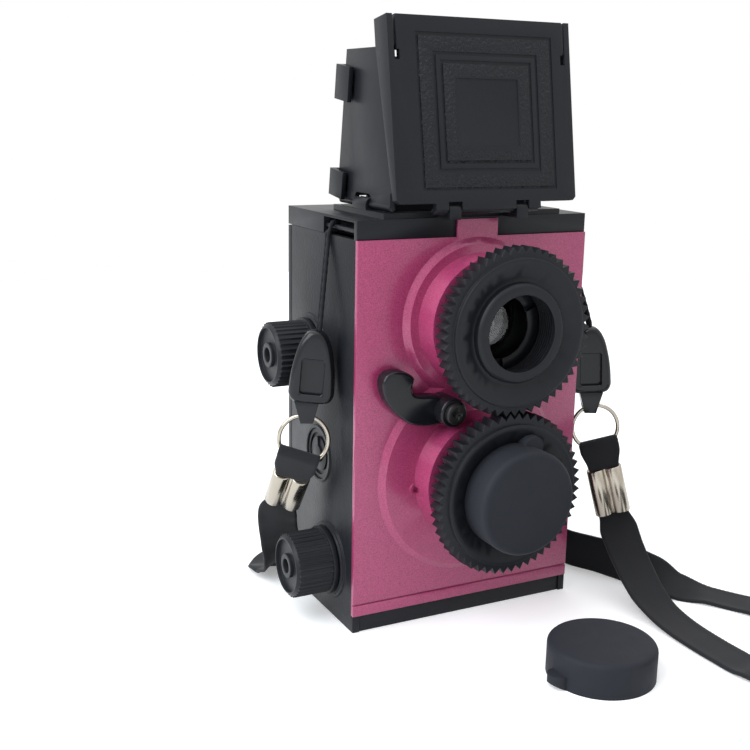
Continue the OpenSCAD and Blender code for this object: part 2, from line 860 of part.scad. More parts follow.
module aperture_posts() {
  for (x = [post_inset - aperture_w / 2, aperture_w / 2 - post_inset])
    for (z = [post_inset - aperture_h / 2, aperture_h / 2 - post_inset])
      translate([x, 0, taking_z + z]) children();
}

module aperture_plate() {
  color("#1c1c1c")
  difference() {
    translate([0, 0, taking_z]) plate_y(aperture_y0, aperture_y0 + aperture_t) square([aperture_w, aperture_h], center = true);
    rod_y(aperture_r, aperture_y0 - over, aperture_y0 + aperture_t + over, 0, taking_z);
  }
}

// Helical return spring with straight ends that reach its two pegs
module shutter_spring() {
  steps = 8 * spring_turns;
  path = concat(
    [[0, 0, spring_z0 - spring_r], [0, 0, spring_z0 - spring_r / 2]],
    [
      for (i = [0:steps])
        [spring_r * cos(360 * i * spring_turns / steps), spring_r * sin(360 * i * spring_turns / steps),
          spring_z0 + (spring_z1 - spring_z0) * i / steps]
    ],
    [[0, 0, spring_z1 + spring_r / 2], [0, 0, spring_z1 + spring_r]]
  );
  color("silver")
  translate([spring_x, board_y1 + spring_out, 0])
    sweep(path, [for (p = path) [-p[1] - spring_wire, p[0], 2 * spring_r]], round_section(spring_wire, 6));
}

module tunnel_outline(grow) {
  polygon([
    [box_y0 - grow, taking_z - throat_h / 2 - box_t + grow],
    [gate_y0 + grow, taking_z - frame_h / 2 - box_t + grow],
    [gate_y0 + grow, taking_z + frame_h / 2 + box_t - grow],
    [box_y0 - grow, taking_z + throat_h / 2 + box_t - grow]
  ]);
}

module dark_box() {
  color("#1c1c1c")
  difference() {
    union() {
      plate_x(-frame_w / 2 - box_t, frame_w / 2 + box_t) tunnel_outline(0);
      block(fit - side_in, side_in - fit, gate_y0, gate_y0 + gate_t, gate_z0, gate_z1);
      both_sides() block(frame_w / 2 + box_t, frame_w / 2 + box_t + rail_w, gate_y0, film_y, gate_z0, gate_z1);
    }
    plate_x(-frame_w / 2, frame_w / 2) tunnel_outline(box_t);
    block(-frame_w / 2, frame_w / 2, gate_y0 - over, film_y + over, taking_z - frame_h / 2, taking_z + frame_h / 2);
    wheel_cut(gate_y0 - over, film_y + over);
  }
}

// Room for the counting wheel through the gate and the pressure plate
module wheel_cut(y0, y1) {
  reach = sqrt(pow(wheel_r + wheel_tooth, 2) - pow(gate_y0 - dial_y, 2)) + wheel_slot;
  block(-wheel_d - wheel_t - wheel_slot, wheel_slot - wheel_d, y0, y1, dial_z - reach, dial_z + reach);
}

module mirror_shelf() {
  color("#1c1c1c")
  translate([0, mirror_y, viewing_z]) rotate([mirror_tilt, 0, 0])
    block(fit - side_in, side_in - fit, -mirror_lo - shelf_more, mirror_hi + shelf_more, -shelf_t, 0);
}

module viewing_mirror() {
  color("lightsteelblue")
  translate([0, mirror_y, viewing_z]) rotate([mirror_tilt, 0, 0])
    block(-mirror_w / 2, mirror_w / 2, -mirror_lo, mirror_hi, 0, mirror_t);
}

module focusing_screen() {
  color("whitesmoke")
  block(-window_w / 2 - screen_lip, window_w / 2 + screen_lip, window_y0 - screen_lip, window_y1 + screen_lip,
    ceiling_z - screen_t, ceiling_z);
}

// Focus ring: toothed rim, dished face, nose with the lens hole and the sleeve in the guide tube
module focus_ring(z, phase) {
  difference() {
    union() {
      turned_ahead(z) polygon([
        [ring_bore, sleeve_d], [sleeve_r, sleeve_d], [sleeve_r, gear_d0], [boss_r, gear_d0], [boss_r, boss_d],
        [dish_r, boss_d], [dish_in, boss_d - dish_deep], [nose_r, boss_d - dish_deep], [nose_r, nose_d - nose_round],
        [nose_r - nose_round, nose_d], [lens_hole_r, nose_d], [lens_hole_r, nose_d - lip_t], [ring_bore, nose_d - lip_t]
      ]);
      translate([0, 0, z]) plate_y(-gear_d1, -gear_d0)
        difference() {
          toothed(gear_teeth, gear_r, gear_root, phase);
          circle(r = (boss_r + sleeve_r) / 2);
        }
    }
  }
}

module viewing_focus_ring() {
  color("#2b2b2b") focus_ring(viewing_z, -90);
}

module taking_focus_ring() {
  color("#2b2b2b") focus_ring(taking_z, 90 + 180 / gear_teeth);
}

// Meniscus lens: domed to the front and hollow behind
module lens(z) {
  translate([0, 0, z])
  difference() {
    intersection() {
      rod_y(lens_r, -lens_d - lens_r, -lens_d, 0, 0);
      translate([0, lens_dome_y, 0]) sphere(r = lens_dome);
    }
    translate([0, lens_hollow_y, 0]) sphere(r = lens_hollow);
  }
}
lens_sag = lens_dome - sqrt(lens_dome * lens_dome - lens_r * lens_r);
lens_dome_y = lens_dome - lens_d - lens_edge - lens_sag;
lens_hollow_y = lens_hollow - lens_d - lens_sag / 2;

module viewing_lens() {
  color("lightcyan") lens(viewing_z);
}

module taking_lens() {
  color("lightcyan") lens(taking_z);
}

module lens_retainer(z) {
  d0 = lens_d + lens_edge + run_gap;
  rise = lens_sag - lens_dome + sqrt(lens_dome * lens_dome - retainer_in * retainer_in);
  difference() {
    turned_ahead(z) polygon([
      [retainer_in, d0 + rise], [lens_r, d0], [lens_r, d0 + retainer_t], [retainer_in + retainer_t / 2, d0 + retainer_t],
      [retainer_in, d0 + rise + retainer_t / 4]
    ]);
    translate([0, 0, z]) for (i = [0:retainer_notches - 1]) rotate([0, 90 + i * 360 / retainer_notches, 0])
      block(retainer_in - over, lens_r + over, -d0 - retainer_t - over, -d0 - retainer_t / 2,
        -retainer_notch / 2, retainer_notch / 2);
  }
}

module viewing_lens_retainer() {
  color("#2b2b2b") lens_retainer(viewing_z);
}

module taking_lens_retainer() {
  color("#2b2b2b") lens_retainer(taking_z);
}

// Rubber cap drawn standing on its rim, with its pull tab along +x cut to lie over the ring's dish
module lens_cap() {
  rotate_extrude() polygon([
    [cap_in, 0], [cap_r, 0],
    for (i = [0:cap_steps])
      let (a = 90 * i / cap_steps)
        [cap_r - cap_round + cap_round * cos(a), cap_h - cap_round + cap_round * sin(a)],
    [0, cap_h], [0, cap_h - cap_top], [cap_in, cap_h - cap_top]
  ]);
  slope = dish_deep / (dish_r - dish_in);
  difference() {
    rod_z(cap_tab_r, 0, cap_tab_h, cap_r, 0);
    rod_z(cap_r - cap_t / 2, -over, cap_tab_h + over, 0, 0);
    rotate_extrude() polygon([
      [dish_in, -over], [dish_r + over, -over], [dish_r + over, slope * (dish_r + over - dish_in)], [dish_in, 0]
    ]);
  }
}

module taking_lens_cap() {
  color("#333333")
  translate([0, -cap_d, taking_z]) rotate([90, -seat_cap_turn, 0]) rotate([0, 0, 0]) mirror([0, 1, 0]) lens_cap();
}

module viewing_lens_cap() {
  color("#333333")
  translate([loose_cap_x, loose_cap_y, 0]) rotate([0, 0, loose_cap_turn]) lens_cap();
}

// Release lever: finger pad, arm and hub, with the sleeve that goes through to the cam
module shutter_lever() {
  color("#2b2b2b")
  translate([lever_x, 0, lever_z])
  difference() {
    union() {
      plate_y(lever_y1 - lever_t, lever_y1) polygon(arm_outline);
      rod_y(pad_r, lever_y1 - lever_t, lever_y1, pad_dx, pad_dz);
      rod_y(hub_r, hub_y, stage_y - gap, 0, 0);
      rod_y(pivot_r, stage_y - gap, cam_y0, 0, 0);
    }
    rod_y(lever_notch_r, lever_y1 - lever_t - over, lever_y1 + over, lever_notch_dx, lever_notch_dz);
    rod_y(screw_r + fit, hub_y - over, cam_y0 + over, 0, 0);
  }
}

module lever_screw() {
  color("silver")
  translate([lever_x, 0, lever_z])
  difference() {
    union() {
      rod_y(screw_head_r, hub_y - screw_head_h, hub_y, 0, 0);
      rod_y(screw_r, hub_y, cam_y0 + cam_t, 0, 0);
    }
    for (a = [0, 90]) rotate([0, a, 0])
      block(-screw_head_r / 2, screw_head_r / 2, hub_y - screw_head_h - over, hub_y - screw_head_h / 2,
        -screw_slot / 2, screw_slot / 2);
  }
}

module shutter_cam() {
  color("silver")
  translate([lever_x, 0, lever_z])
  plate_y(cam_y0, cam_y0 + cam_t)
    difference() {
      union() {
        circle(r = cam_r);
        rotate(cam_turn) translate([0, -cam_w / 2]) square([cam_l, cam_w]);
        rotate(cam_turn) translate([cam_l, 0]) circle(r = cam_w / 2);
      }
      circle(r = screw_r + fit);
    }
}

module shutter_blade() {
  color("dimgray")
  translate([blade_x, 0, blade_z])
  plate_y(blade_y0, blade_y0 + blade_t)
    difference() {
      union() {
        circle(r = blade_hub_r);
        rotate(atan2(-blade_up, -blade_x)) {
          translate([0, -blade_arm_w / 2]) square([blade_reach, blade_arm_w]);
          translate([blade_reach, 0]) circle(r = blade_r);
        }
      }
      circle(r = blade_pin_r + run_gap);
    }
}

// Fluted knob with a flange and a recessed end
module knob(y, z) {
  difference() {
    union() {
      turned_left(y, z) polygon([
        [0, knob_d0], [flange_r, knob_d0], [flange_r, knob_d0 + flange_t], [knob_r - flute_h, knob_d0 + flange_t],
        [knob_r - flute_h, knob_d1 - knob_round], [knob_r - flute_h - knob_round, knob_d1], [0, knob_d1]
      ]);
      translate([0, y, z]) plate_x(knob_round - knob_d1, -knob_d0 - flange_t)
        difference() {
          toothed(knob_flutes, knob_r, knob_r - 2 * flute_h, 0);
          circle(r = knob_r / 2);
        }
    }
    rod_x(shaft_r + fit, -knob_d0 - shaft_grip, over - knob_d0, y, z);
    turned_left(y, z) translate([knob_hub_r, knob_d1 - knob_recess])
      square([knob_r - knob_rim - knob_hub_r, knob_recess + over]);
    rod_x(knob_hole_r, -knob_d1 - over, knob_hole_l - knob_d1, y, z);
  }
}

module winding_knob() {
  color("#262626") knob(wind_y, wind_z);
}

module rewind_knob() {
  color("#262626") knob(rewind_y, rewind_z);
}

module take_up_spool() {
  color("#1c1c1c")
  difference() {
    union() {
      rod_x(shaft_r, fit - knob_d0 - shaft_grip, side_in - wall - gap, wind_y, wind_z);
      rod_x(spool_core_r, -spool_w / 2, spool_w / 2, wind_y, wind_z);
      both_sides() rod_x(spool_r, spool_w / 2 - spool_flange, spool_w / 2, wind_y, wind_z);
    }
    block(spool_flange - spool_w / 2, spool_w / 2 - spool_flange, wind_y - spool_core_r - over, wind_y + spool_core_r + over,
      wind_z - spool_slot / 2, wind_z + spool_slot / 2);
  }
}

module ratchet_wheel() {
  color("whitesmoke")
  translate([0, wind_y, wind_z]) plate_x(-ratchet_d - ratchet_t, -ratchet_d)
    difference() {
      polygon([
        for (i = [0:ratchet_teeth - 1])
          let (a = i * 360 / ratchet_teeth)
            each [[ratchet_r * cos(a), ratchet_r * sin(a)], [ratchet_root * cos(a), ratchet_root * sin(a)]]
      ]);
      circle(r = shaft_r + fit);
    }
}

// Spring finger that stands on the side plate and bears on the ratchet
module ratchet_pawl() {
  y0 = wind_y - ratchet_r - pawl_gap - pawl_t;
  color("whitesmoke") {
    block(-ratchet_d - ratchet_t, -ratchet_d, y0, y0 + pawl_t, wind_z - pawl_l, wind_z);
    block(-side_in, -ratchet_d, y0 + pawl_t - pawl_foot, y0 + pawl_t, wind_z - pawl_l - pawl_foot, wind_z - pawl_l);
  }
}

module rewind_fork() {
  color("#1c1c1c")
  difference() {
    union() {
      rod_x(shaft_r, fit - knob_d0 - shaft_grip, -fork_d - fork_l, rewind_y, rewind_z);
      rod_x(bearing_r, gap + bearing_l - side_in, -fork_d - fork_l + fork_t, rewind_y, rewind_z);
      block(-fork_d - fork_l, -fork_d, rewind_y - fork_t / 2, rewind_y + fork_t / 2, rewind_z - shaft_r, rewind_z + shaft_r);
    }
    block(-fork_d - fork_l + fork_t, over - fork_d, rewind_y - fork_t, rewind_y + fork_t,
      rewind_z - fork_t / 2, rewind_z + fork_t / 2);
  }
}

module counter_dial() {
  color("#333333") {
    turned_left(dial_y, dial_z) polygon([
      [0, wheel_d - fit], [wheel_shaft_r, wheel_d - fit], [wheel_shaft_r, side_in - gap - dial_flange_t],
      [dial_flange_r, side_in - gap - dial_flange_t], [dial_flange_r, side_in - gap], [dial_r, side_in - gap],
      [dial_r, half_w], [dial_r - dial_groove, half_w], [dial_r - dial_groove, half_w - dial_groove_d],
      [dial_r - 2 * dial_groove, half_w - dial_groove_d], [dial_r - 2 * dial_groove, half_w], [dial_hub_r, half_w],
      [dial_hub_r, half_w + dial_hub_h], [0, half_w + dial_hub_h]
    ]);
    block(-half_w - dial_hub_h, -half_w, dial_y - pointer_w / 2, dial_y + pointer_w / 2,
      dial_z, dial_z + dial_r - 2 * dial_groove);
  }
}

module counter_wheel() {
  step = 360 / wheel_teeth;
  half_tooth = atan2(wheel_tooth_w / 2, wheel_r);
  color("whitesmoke")
  translate([0, dial_y, dial_z]) plate_x(-wheel_d - wheel_t, -wheel_d)
    difference() {
      union() {
        circle(r = wheel_r);
        for (i = [0:wheel_teeth - 1]) rotate(i * step + step / 2)
          polygon([
            [wheel_r * cos(half_tooth), -wheel_tooth_w / 2], [wheel_r + wheel_tooth, -wheel_tooth_w / 4],
            [wheel_r + wheel_tooth, wheel_tooth_w / 4], [wheel_r * cos(half_tooth), wheel_tooth_w / 2]
          ]);
      }
      circle(r = wheel_shaft_r + fit);
    }
}

// Lid of the hood, drawn upright about its hinge line and then leaned back
module lid_outline() {
  half = lid_w / 2;
  polygon([
    [-half, lid_l + lid_foot], [-half, lid_foot + lid_chamfer], [lid_chamfer - half, lid_foot],
    [-lid_rod_w / 2, lid_foot], [-lid_rod_w / 2, 0], [lid_rod_w / 2, 0], [lid_rod_w / 2, lid_foot],
    [half - lid_chamfer, lid_foot], [half, lid_foot + lid_chamfer], [half, lid_l + lid_foot]
  ]);
}

module relief_frame(size) {
  translate([relief_x, lid_foot + relief_mid])
    difference() {
      square(size, center = true);
      square([size[0] - 2 * relief_line, size[1] - 2 * relief_line], center = true);
    }
}

module lid_flange() {
  top = lid_foot + lid_l;
  polygon([
    [lid_t - lid_front, lid_foot + lid_chamfer], [lid_flange_foot - lid_front, lid_foot + lid_chamfer],
    [lid_flange_top - lid_front, top - lid_flange_top], [lid_flange_top - lid_front, top], [lid_t - lid_front, top]
  ]);
}

// Room in a panel's foot for the two clips that hold its rod
module arm_clip_room() {
  both_sides()
    block(arm_clip_x - arm_clip_l / 2 - gap, arm_clip_x + arm_clip_l / 2 + gap, -2 * clip_r, 2 * clip_r, -over, clip_r + gap);
}

module hood_lid() {
  top = lid_foot + lid_l;
  slit_x = lid_w / 2 - lid_slit_in;
  color("#262626")
  translate([0, lid_axis_y, lid_axis_z]) rotate([-lid_lean, 0, 0])
  difference() {
    union() {
      difference() {
        union() {
          plate_y(-lid_front, lid_t - lid_front) lid_outline();
          both_sides() plate_x(lid_w / 2 - lid_flange_t, lid_w / 2) lid_flange();
        }
        arm_clip_room();
      }
      rod_x(rod_r, -lid_rod_w / 2, lid_rod_w / 2, 0, 0);
    }
    plate_y(-lid_front - over, relief_d - lid_front) {
      relief_frame(relief_outer);
      relief_frame(relief_middle);
      relief_frame(relief_inner);
      translate([relief_x, lid_foot + relief_mid]) square(relief_centre, center = true);
    }
    both_sides() {
      block(slit_x, slit_x + lid_slit_w, -lid_front - over, lid_t - lid_front + over, top - lid_slit_l, top + over);
      block(slit_x - lid_notch_w / 2, slit_x + lid_notch_w / 2, -lid_front - over, lid_t - lid_front + over,
        top - lid_slit_l - lid_notch_l, top - lid_slit_l);
    }
  }
}

// Side panels of the hood: the front edge follows the lid and the rear edge the back panel
function hood_front(z) =
  lid_axis_y + (lid_t - lid_front) / cos(lid_lean) + (z - lid_axis_z) * tan(lid_lean) + hood_gap;
function hood_rear(z) =
  rear_axis_y - rear_t / 2 / cos(rear_lean) - (z - lid_axis_z) * tan(rear_lean) - hood_gap;

module side_panel(hinge_z) {
  difference() {
    union() {
      plate_x(-side_t / 2, side_t / 2)
        difference() {
          polygon([
            [side_rod_y0, hinge_z], [side_rod_y0, hinge_z + side_foot],
            [hood_front(hinge_z + 2 * side_foot), hinge_z + 2 * side_foot], [hood_front(side_top_z), side_top_z],
            [hood_rear(side_top_z), side_top_z], [hood_rear(hinge_z + side_foot), hinge_z + side_foot],
            [side_rod_y1, hinge_z]
          ]);
          translate([clip_y, hinge_z]) side_window();
        }
      rod_y(rod_r, side_rod_y0, side_rod_y1, 0, hinge_z);
    }
  }
}

// Round-ended window over the clip
module side_window() {
  reach = side_window / 2 - side_window_h / 2;
  translate([-side_window / 2, -clip_r]) square([side_window, clip_r + side_window_h / 2]);
  translate([-reach, side_window_h / 2]) circle(r = side_window_h / 2);
  translate([reach, side_window_h / 2]) circle(r = side_window_h / 2);
  translate([-reach, 0]) square([2 * reach, side_window_h]);
}

module hood_left_panel() {
  color("#262626") translate([-side_x, 0, 0]) side_panel(left_hinge_z);
}

module hood_right_panel() {
  color("#262626") translate([side_x, 0, 0]) side_panel(right_hinge_z);
}

module hood_back_panel() {
  hook_x = side_x + side_t / 2 + hook_gap;
  color("#262626")
  translate([0, rear_axis_y, lid_axis_z]) rotate([rear_lean, 0, 0])
  union() {
    difference() {
      plate_y(-rear_t / 2, rear_t / 2) {
        translate([-rear_w / 2, rear_foot]) square([rear_w, rear_l]);
        translate([-lid_rod_w / 2, 0]) square([lid_rod_w, rear_foot]);
        for (s = hook_spans) translate([-hook_x - hook_t, s[0]]) square([2 * (hook_x + hook_t), s[1] - s[0]]);
      }
      arm_clip_room();
    }
    both_sides() for (s = hook_spans) block(hook_x, hook_x + hook_t, -rear_t / 2 - hook_l, -rear_t / 2, s[0], s[1]);
    rod_x(rod_r, -lid_rod_w / 2, lid_rod_w / 2, 0, 0);
  }
}

module back_cover() {
  color("#262626")
  difference() {
    union() {
      block(-half_w, half_w, shell_back + fit, back_y, cover_z0, top_z - cover_gap);
      for (z = [cover_z0 + rib_in, top_z - cover_gap - rib_in])
        block(-rib_x, rib_x, shell_back - rib_h, shell_back + wall / 2, z, z + rib_w);
      for (i = [1:2:knuckles - 1]) knuckle(i, gap)
        block(half_w - hinge_out, hinge_x, hinge_y - knuckle_r / 2, hinge_y + knuckle_r / 2, gap, knuckle_l - gap);
    }
    for (i = [0:2:knuckles - 1])
      rod_z(knuckle_r + gap, knuckle_z0 + i * knuckle_l - gap, knuckle_z0 + (i + 1) * knuckle_l + gap, hinge_x, hinge_y);
    hinge_bore();
    block(latch_stem_x - latch_stem_w / 2 - latch_travel - gap, latch_stem_x + latch_stem_w / 2 + gap,
      shell_back - over, back_y + over, latch_z - latch_stem_h / 2 - gap, latch_z + latch_stem_h / 2 + gap);
  }
}

module back_hinge_pin() {
  color("silver") rod_z(pin_r, knuckle_z0, knuckle_z0 + knuckles * knuckle_l, hinge_x, hinge_y);
}

// Bowed leaf that pushes the pressure plate towards the film
module pressure_spring() {
  bow_r = (bow_half * bow_half + bow * bow) / (2 * bow);
  color("silver")
  plate_x(-bow_w / 2, bow_w / 2)
    intersection() {
      translate([shell_back - bow_seat - bow_r, taking_z])
        difference() {
          circle(r = bow_r, $fn = 180);
          circle(r = bow_r - bow_t, $fn = 180);
        }
      translate([shell_back - 2 * bow, taking_z - bow_half]) square([2 * bow, 2 * bow_half]);
    }
}

module pressure_plate() {
  color("#444444")
  difference() {
    block(-plate_w / 2, plate_w / 2, film_y + plate_gap, film_y + plate_gap + plate_t,
      taking_z - plate_h / 2, taking_z + plate_h / 2);
    wheel_cut(film_y, film_y + plate_gap + plate_t + over);
  }
}

// Sliding catch: ribbed thumb piece outside, stem through the cover, tongue for the side plate's catch
catch_y = shell_back - latch_tongue_out;
module back_latch() {
  tongue_y = catch_y - gap;
  color("#262626") {
    block(latch_x, latch_x + latch_w, back_y + gap, back_y + latch_t, latch_z - latch_h / 2, latch_z + latch_h / 2);
    for (i = [1:latch_ribs])
      block(latch_x + i * latch_w / (latch_ribs + 1) - latch_rib / 2, latch_x + i * latch_w / (latch_ribs + 1) + latch_rib / 2,
        back_y + latch_t, back_y + latch_t + latch_rib, latch_z - latch_h / 2, latch_z + latch_h / 2);
    block(latch_stem_x - latch_stem_w / 2, latch_stem_x + latch_stem_w / 2, tongue_y, back_y + latch_t,
      latch_z - latch_stem_h / 2, latch_z + latch_stem_h / 2);
    block(catch_w + gap - side_in, latch_stem_x + latch_stem_w / 2, tongue_y - latch_tongue_t, tongue_y,
      latch_z - latch_stem_h / 2, latch_z + latch_stem_h / 2);
  }
}

// Strap pieces. A buckle is drawn in x and z, faces -y and stands on its lower edge
module buckle_outline() {
  top_r = buckle_w * buckle_top_share;
  wide = buckle_h * buckle_wide_share;
  polygon([
    [-buckle_w * buckle_foot_share, 0], [-buckle_w / 2, wide], [-top_r, buckle_h - top_r], [top_r, buckle_h - top_r],
    [buckle_w / 2, wide], [buckle_w * buckle_foot_share, 0]
  ]);
  translate([0, buckle_h - top_r]) circle(r = top_r);
}

module buckle() {
  difference() {
    plate_y(-buckle_t / 2, buckle_t / 2) buckle_outline();
    translate([0, 0, buckle_h * buckle_window_shares[2]])
      for (y = [-buckle_t / 2, buckle_t / 2])
        plate_y(y - buckle_recess, y + buckle_recess)
          translate([-buckle_w * buckle_window_shares[0] / 2, 0])
            square([buckle_w * buckle_window_shares[0], buckle_h * buckle_window_shares[1]]);
  }
}

module strap_buckles() {
  color("#202020") {
    translate(left_buckle) rotate([0, left_lean, left_turn[2]]) buckle();
    translate(right_buckle) rotate([0, right_lean, right_turn[2]]) buckle();
  }
}

// Plug that hangs under a buckle and carries the split ring in its eye
module plug(ring, turn, hang) {
  tip = ring[2] + sqrt(ring_r * ring_r - hang * hang);
  translate([ring[0], ring[1], 0]) rotate([0, 0, turn[2]]) translate([hang, 0, 0])
  difference() {
    plate_y(-plug_t / 2, plug_t / 2)
      polygon([
        [-plug_tip_w / 2, tip - 3 * plug_eye_r / 2], [plug_tip_w / 2, tip - 3 * plug_eye_r / 2],
        [plug_w / 2, tip + plug_h - 2 * plug_eye_r], [-plug_w / 2, tip + plug_h - 2 * plug_eye_r]
      ]);
    rod_x(plug_eye_r, -plug_w, plug_w, 0, tip);
  }
}

module strap_plugs() {
  color("#202020") {
    plug(left_ring, left_turn, left_hang);
    plug(right_ring, right_turn, right_hang);
  }
}

module split_ring(ring, turn) {
  translate(ring) rotate([90, 0, turn[2]]) rotate_extrude() translate([ring_r, 0]) circle(r = wire_r);
}

module split_rings() {
  color("silver") {
    split_ring(left_ring, left_turn);
    split_ring(right_ring, right_turn);
  }
}

// Places a piece of the strap by the point where it goes round its ring
module from_ring(ring, turn) {
  translate(ring) rotate([0, turn[1], turn[2]]) translate([0, 0, -ring_r]) rotate([turn[0], 0, 0]) children();
}

module loop_outline(r, foot) {
  translate([-r, -foot]) square([2 * r, foot + loop_up]);
  translate([0, loop_up]) circle(r = r);
}

module ribbon_loop() {
  plate_x(-ribbon_w / 2, ribbon_w / 2)
    difference() {
      loop_outline(loop_in + loop_t, loop_down);
      loop_outline(loop_in, loop_down + over);
    }
}

module ribbon_loops() {
  color("#181818") {
    from_ring(left_ring, left_turn) ribbon_loop();
    from_ring(right_ring, right_turn) ribbon_loop();
  }
}

module ferrule() {
  translate([0, 0, -loop_down - ferrule_l]) linear_extrude(ferrule_l) {
    translate([-ferrule_half, 0]) circle(r = ferrule_tube_r);
    translate([ferrule_half, 0]) circle(r = ferrule_tube_r);
    square([2 * ferrule_half, ferrule_tube_r], center = true);
  }
}

module strap_ferrules() {
  color("silver") {
    from_ring(left_ring, left_turn) ferrule();
    from_ring(right_ring, right_turn) ferrule();
  }
}

module thin_cord(route) {
  sweep(route, [for (p = route) [0, 1, 0.3]], round_section(cord_r, 8));
}

module strap_cords() {
  color("#181818") {
    thin_cord(left_cord_route);
    thin_cord(right_cord_route);
  }
}

module ribbon(route) {
  sweep([for (p = route) at3(p)], [for (p = route) [p[3], p[4], p[5]]], flat_section(ribbon_w, ribbon_t));
}

module strap_left_run() {
  color("#181818") ribbon(left_route);
}

module strap_right_run() {
  color("#181818") ribbon(right_route);
}

module strap_coil() {
  path = coil_path();
  color("#181818") sweep(path, [for (p = path) [0, 0, 1]], flat_section(ribbon_w, ribbon_t));
}

module strap_tie() {
  mid = coil_y - coil_r - coil_pitch / 2;
  in_y = coil_pitch / 4 + ribbon_t / 2 + tie_slack;
  in_z = ribbon_w / 2 + tie_gap;
  color("#101010")
  translate([coil_x, mid, coil_z])
    difference() {
      block(-tie_w / 2, tie_w / 2, -in_y - tie_t, in_y + tie_t, -in_z - tie_t, in_z + tie_t);
      block(-tie_w, tie_w, -in_y, in_y, -in_z, in_z);
    }
}

front_plate();
left_side_plate();
right_side_plate();
bottom_plate();
top_cover();
lens_board();
dark_box();
mirror_shelf();
viewing_mirror();
focusing_screen();
aperture_plate();
shutter_spring();
ratchet_pawl();
tripod_nut();
case_screws();
back_hinge_pin();
strap_lug_pins();
strap_cords();
strap_buckles();
strap_plugs();
split_rings();
ribbon_loops();
strap_ferrules();
strap_left_run();
strap_right_run();
strap_coil();
strap_tie();
viewing_focus_ring();
viewing_lens();
viewing_lens_retainer();
taking_focus_ring();
taking_lens();
taking_lens_retainer();
taking_lens_cap();
viewing_lens_cap();
shutter_lever();
lever_screw();
shutter_cam();
shutter_blade();
winding_knob();
take_up_spool();
ratchet_wheel();
rewind_knob();
rewind_fork();
counter_dial();
counter_wheel();
hood_lid();
hood_left_panel();
hood_right_panel();
hood_back_panel();
back_cover();
pressure_spring();
pressure_plate();
back_latch();
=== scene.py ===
"""Looks of a small twin-lens film camera: finishes, rounded edges, ribbon strap, light and camera."""

import json
import logging
import math
from dataclasses import dataclass
from enum import Enum

import bmesh
import bpy
from mathutils import Euler, Matrix, Vector


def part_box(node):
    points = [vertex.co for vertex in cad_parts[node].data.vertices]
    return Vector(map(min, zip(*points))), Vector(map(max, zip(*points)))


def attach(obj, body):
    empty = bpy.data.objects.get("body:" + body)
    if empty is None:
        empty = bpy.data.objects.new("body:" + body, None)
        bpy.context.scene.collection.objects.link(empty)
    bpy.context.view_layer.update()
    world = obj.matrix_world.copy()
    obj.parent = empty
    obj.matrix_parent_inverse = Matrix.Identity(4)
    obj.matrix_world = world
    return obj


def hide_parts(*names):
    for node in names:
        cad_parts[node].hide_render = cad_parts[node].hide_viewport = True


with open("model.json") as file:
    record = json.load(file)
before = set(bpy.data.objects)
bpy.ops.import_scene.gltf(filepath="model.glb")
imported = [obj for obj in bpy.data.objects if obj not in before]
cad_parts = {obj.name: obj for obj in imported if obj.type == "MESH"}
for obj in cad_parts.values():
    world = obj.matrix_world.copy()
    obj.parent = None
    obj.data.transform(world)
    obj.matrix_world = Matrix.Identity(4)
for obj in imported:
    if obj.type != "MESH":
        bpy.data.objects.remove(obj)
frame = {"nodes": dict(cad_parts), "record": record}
LOG = logging.getLogger("scene")
MM = 0.001
CRISP = math.radians(38)
Flat = tuple[float, float]
Spot = tuple[float, float, float]
Row = tuple[float, float, float, float, float, float]


class Slot(Enum):
    """Material slots of the record that the pieces take their finish from."""

    BLACK = "black_plastic"
    INNER = "inner_plastic"
    WHITE = "white_plastic"
    PINK = "pink_plastic"
    RUBBER = "cap_rubber"
    GLASS = "lens_glass"
    MIRROR = "mirror_glass"
    SCREEN = "screen_plastic"
    STEEL = "bright_steel"
    BLACK_STEEL = "black_steel"
    BRASS = "nut_brass"
    FABRIC = "strap_fabric"


class Detail(Enum):
    """Pattern that a material has besides its finish."""

    PLAIN = "plain"
    LID = "bands of the lid"
    LEATHER = "grain of the side plates"
    FLAKES = "flakes in the paint"


@dataclass(frozen=True)
class Finish:
    """How one surface looks.

    Attributes:
        colour: Base colour, linear.
        roughness: Middle roughness.
        spread: How far the roughness wanders either way.
        tint: How far the colour wanders either way, as a share.
        grain: Size of the moulded or cast grain in millimetres.
        relief: Height of the grain in millimetres.
        metallic: 1 for bare metal.
        coat: Weight of a clear coat.
        coat_roughness: Roughness of the coat.
        specular: Specular level.
        sheen: Weight of the fabric sheen.
        transmission: 1 for clear glass.
    """

    colour: Spot
    roughness: float
    spread: float = 0.06
    tint: float = 0.12
    grain: float = 0.35
    relief: float = 0.012
    metallic: float = 0.0
    coat: float = 0.0
    coat_roughness: float = 0.1
    specular: float = 0.5
    sheen: float = 0.0
    transmission: float = 0.0


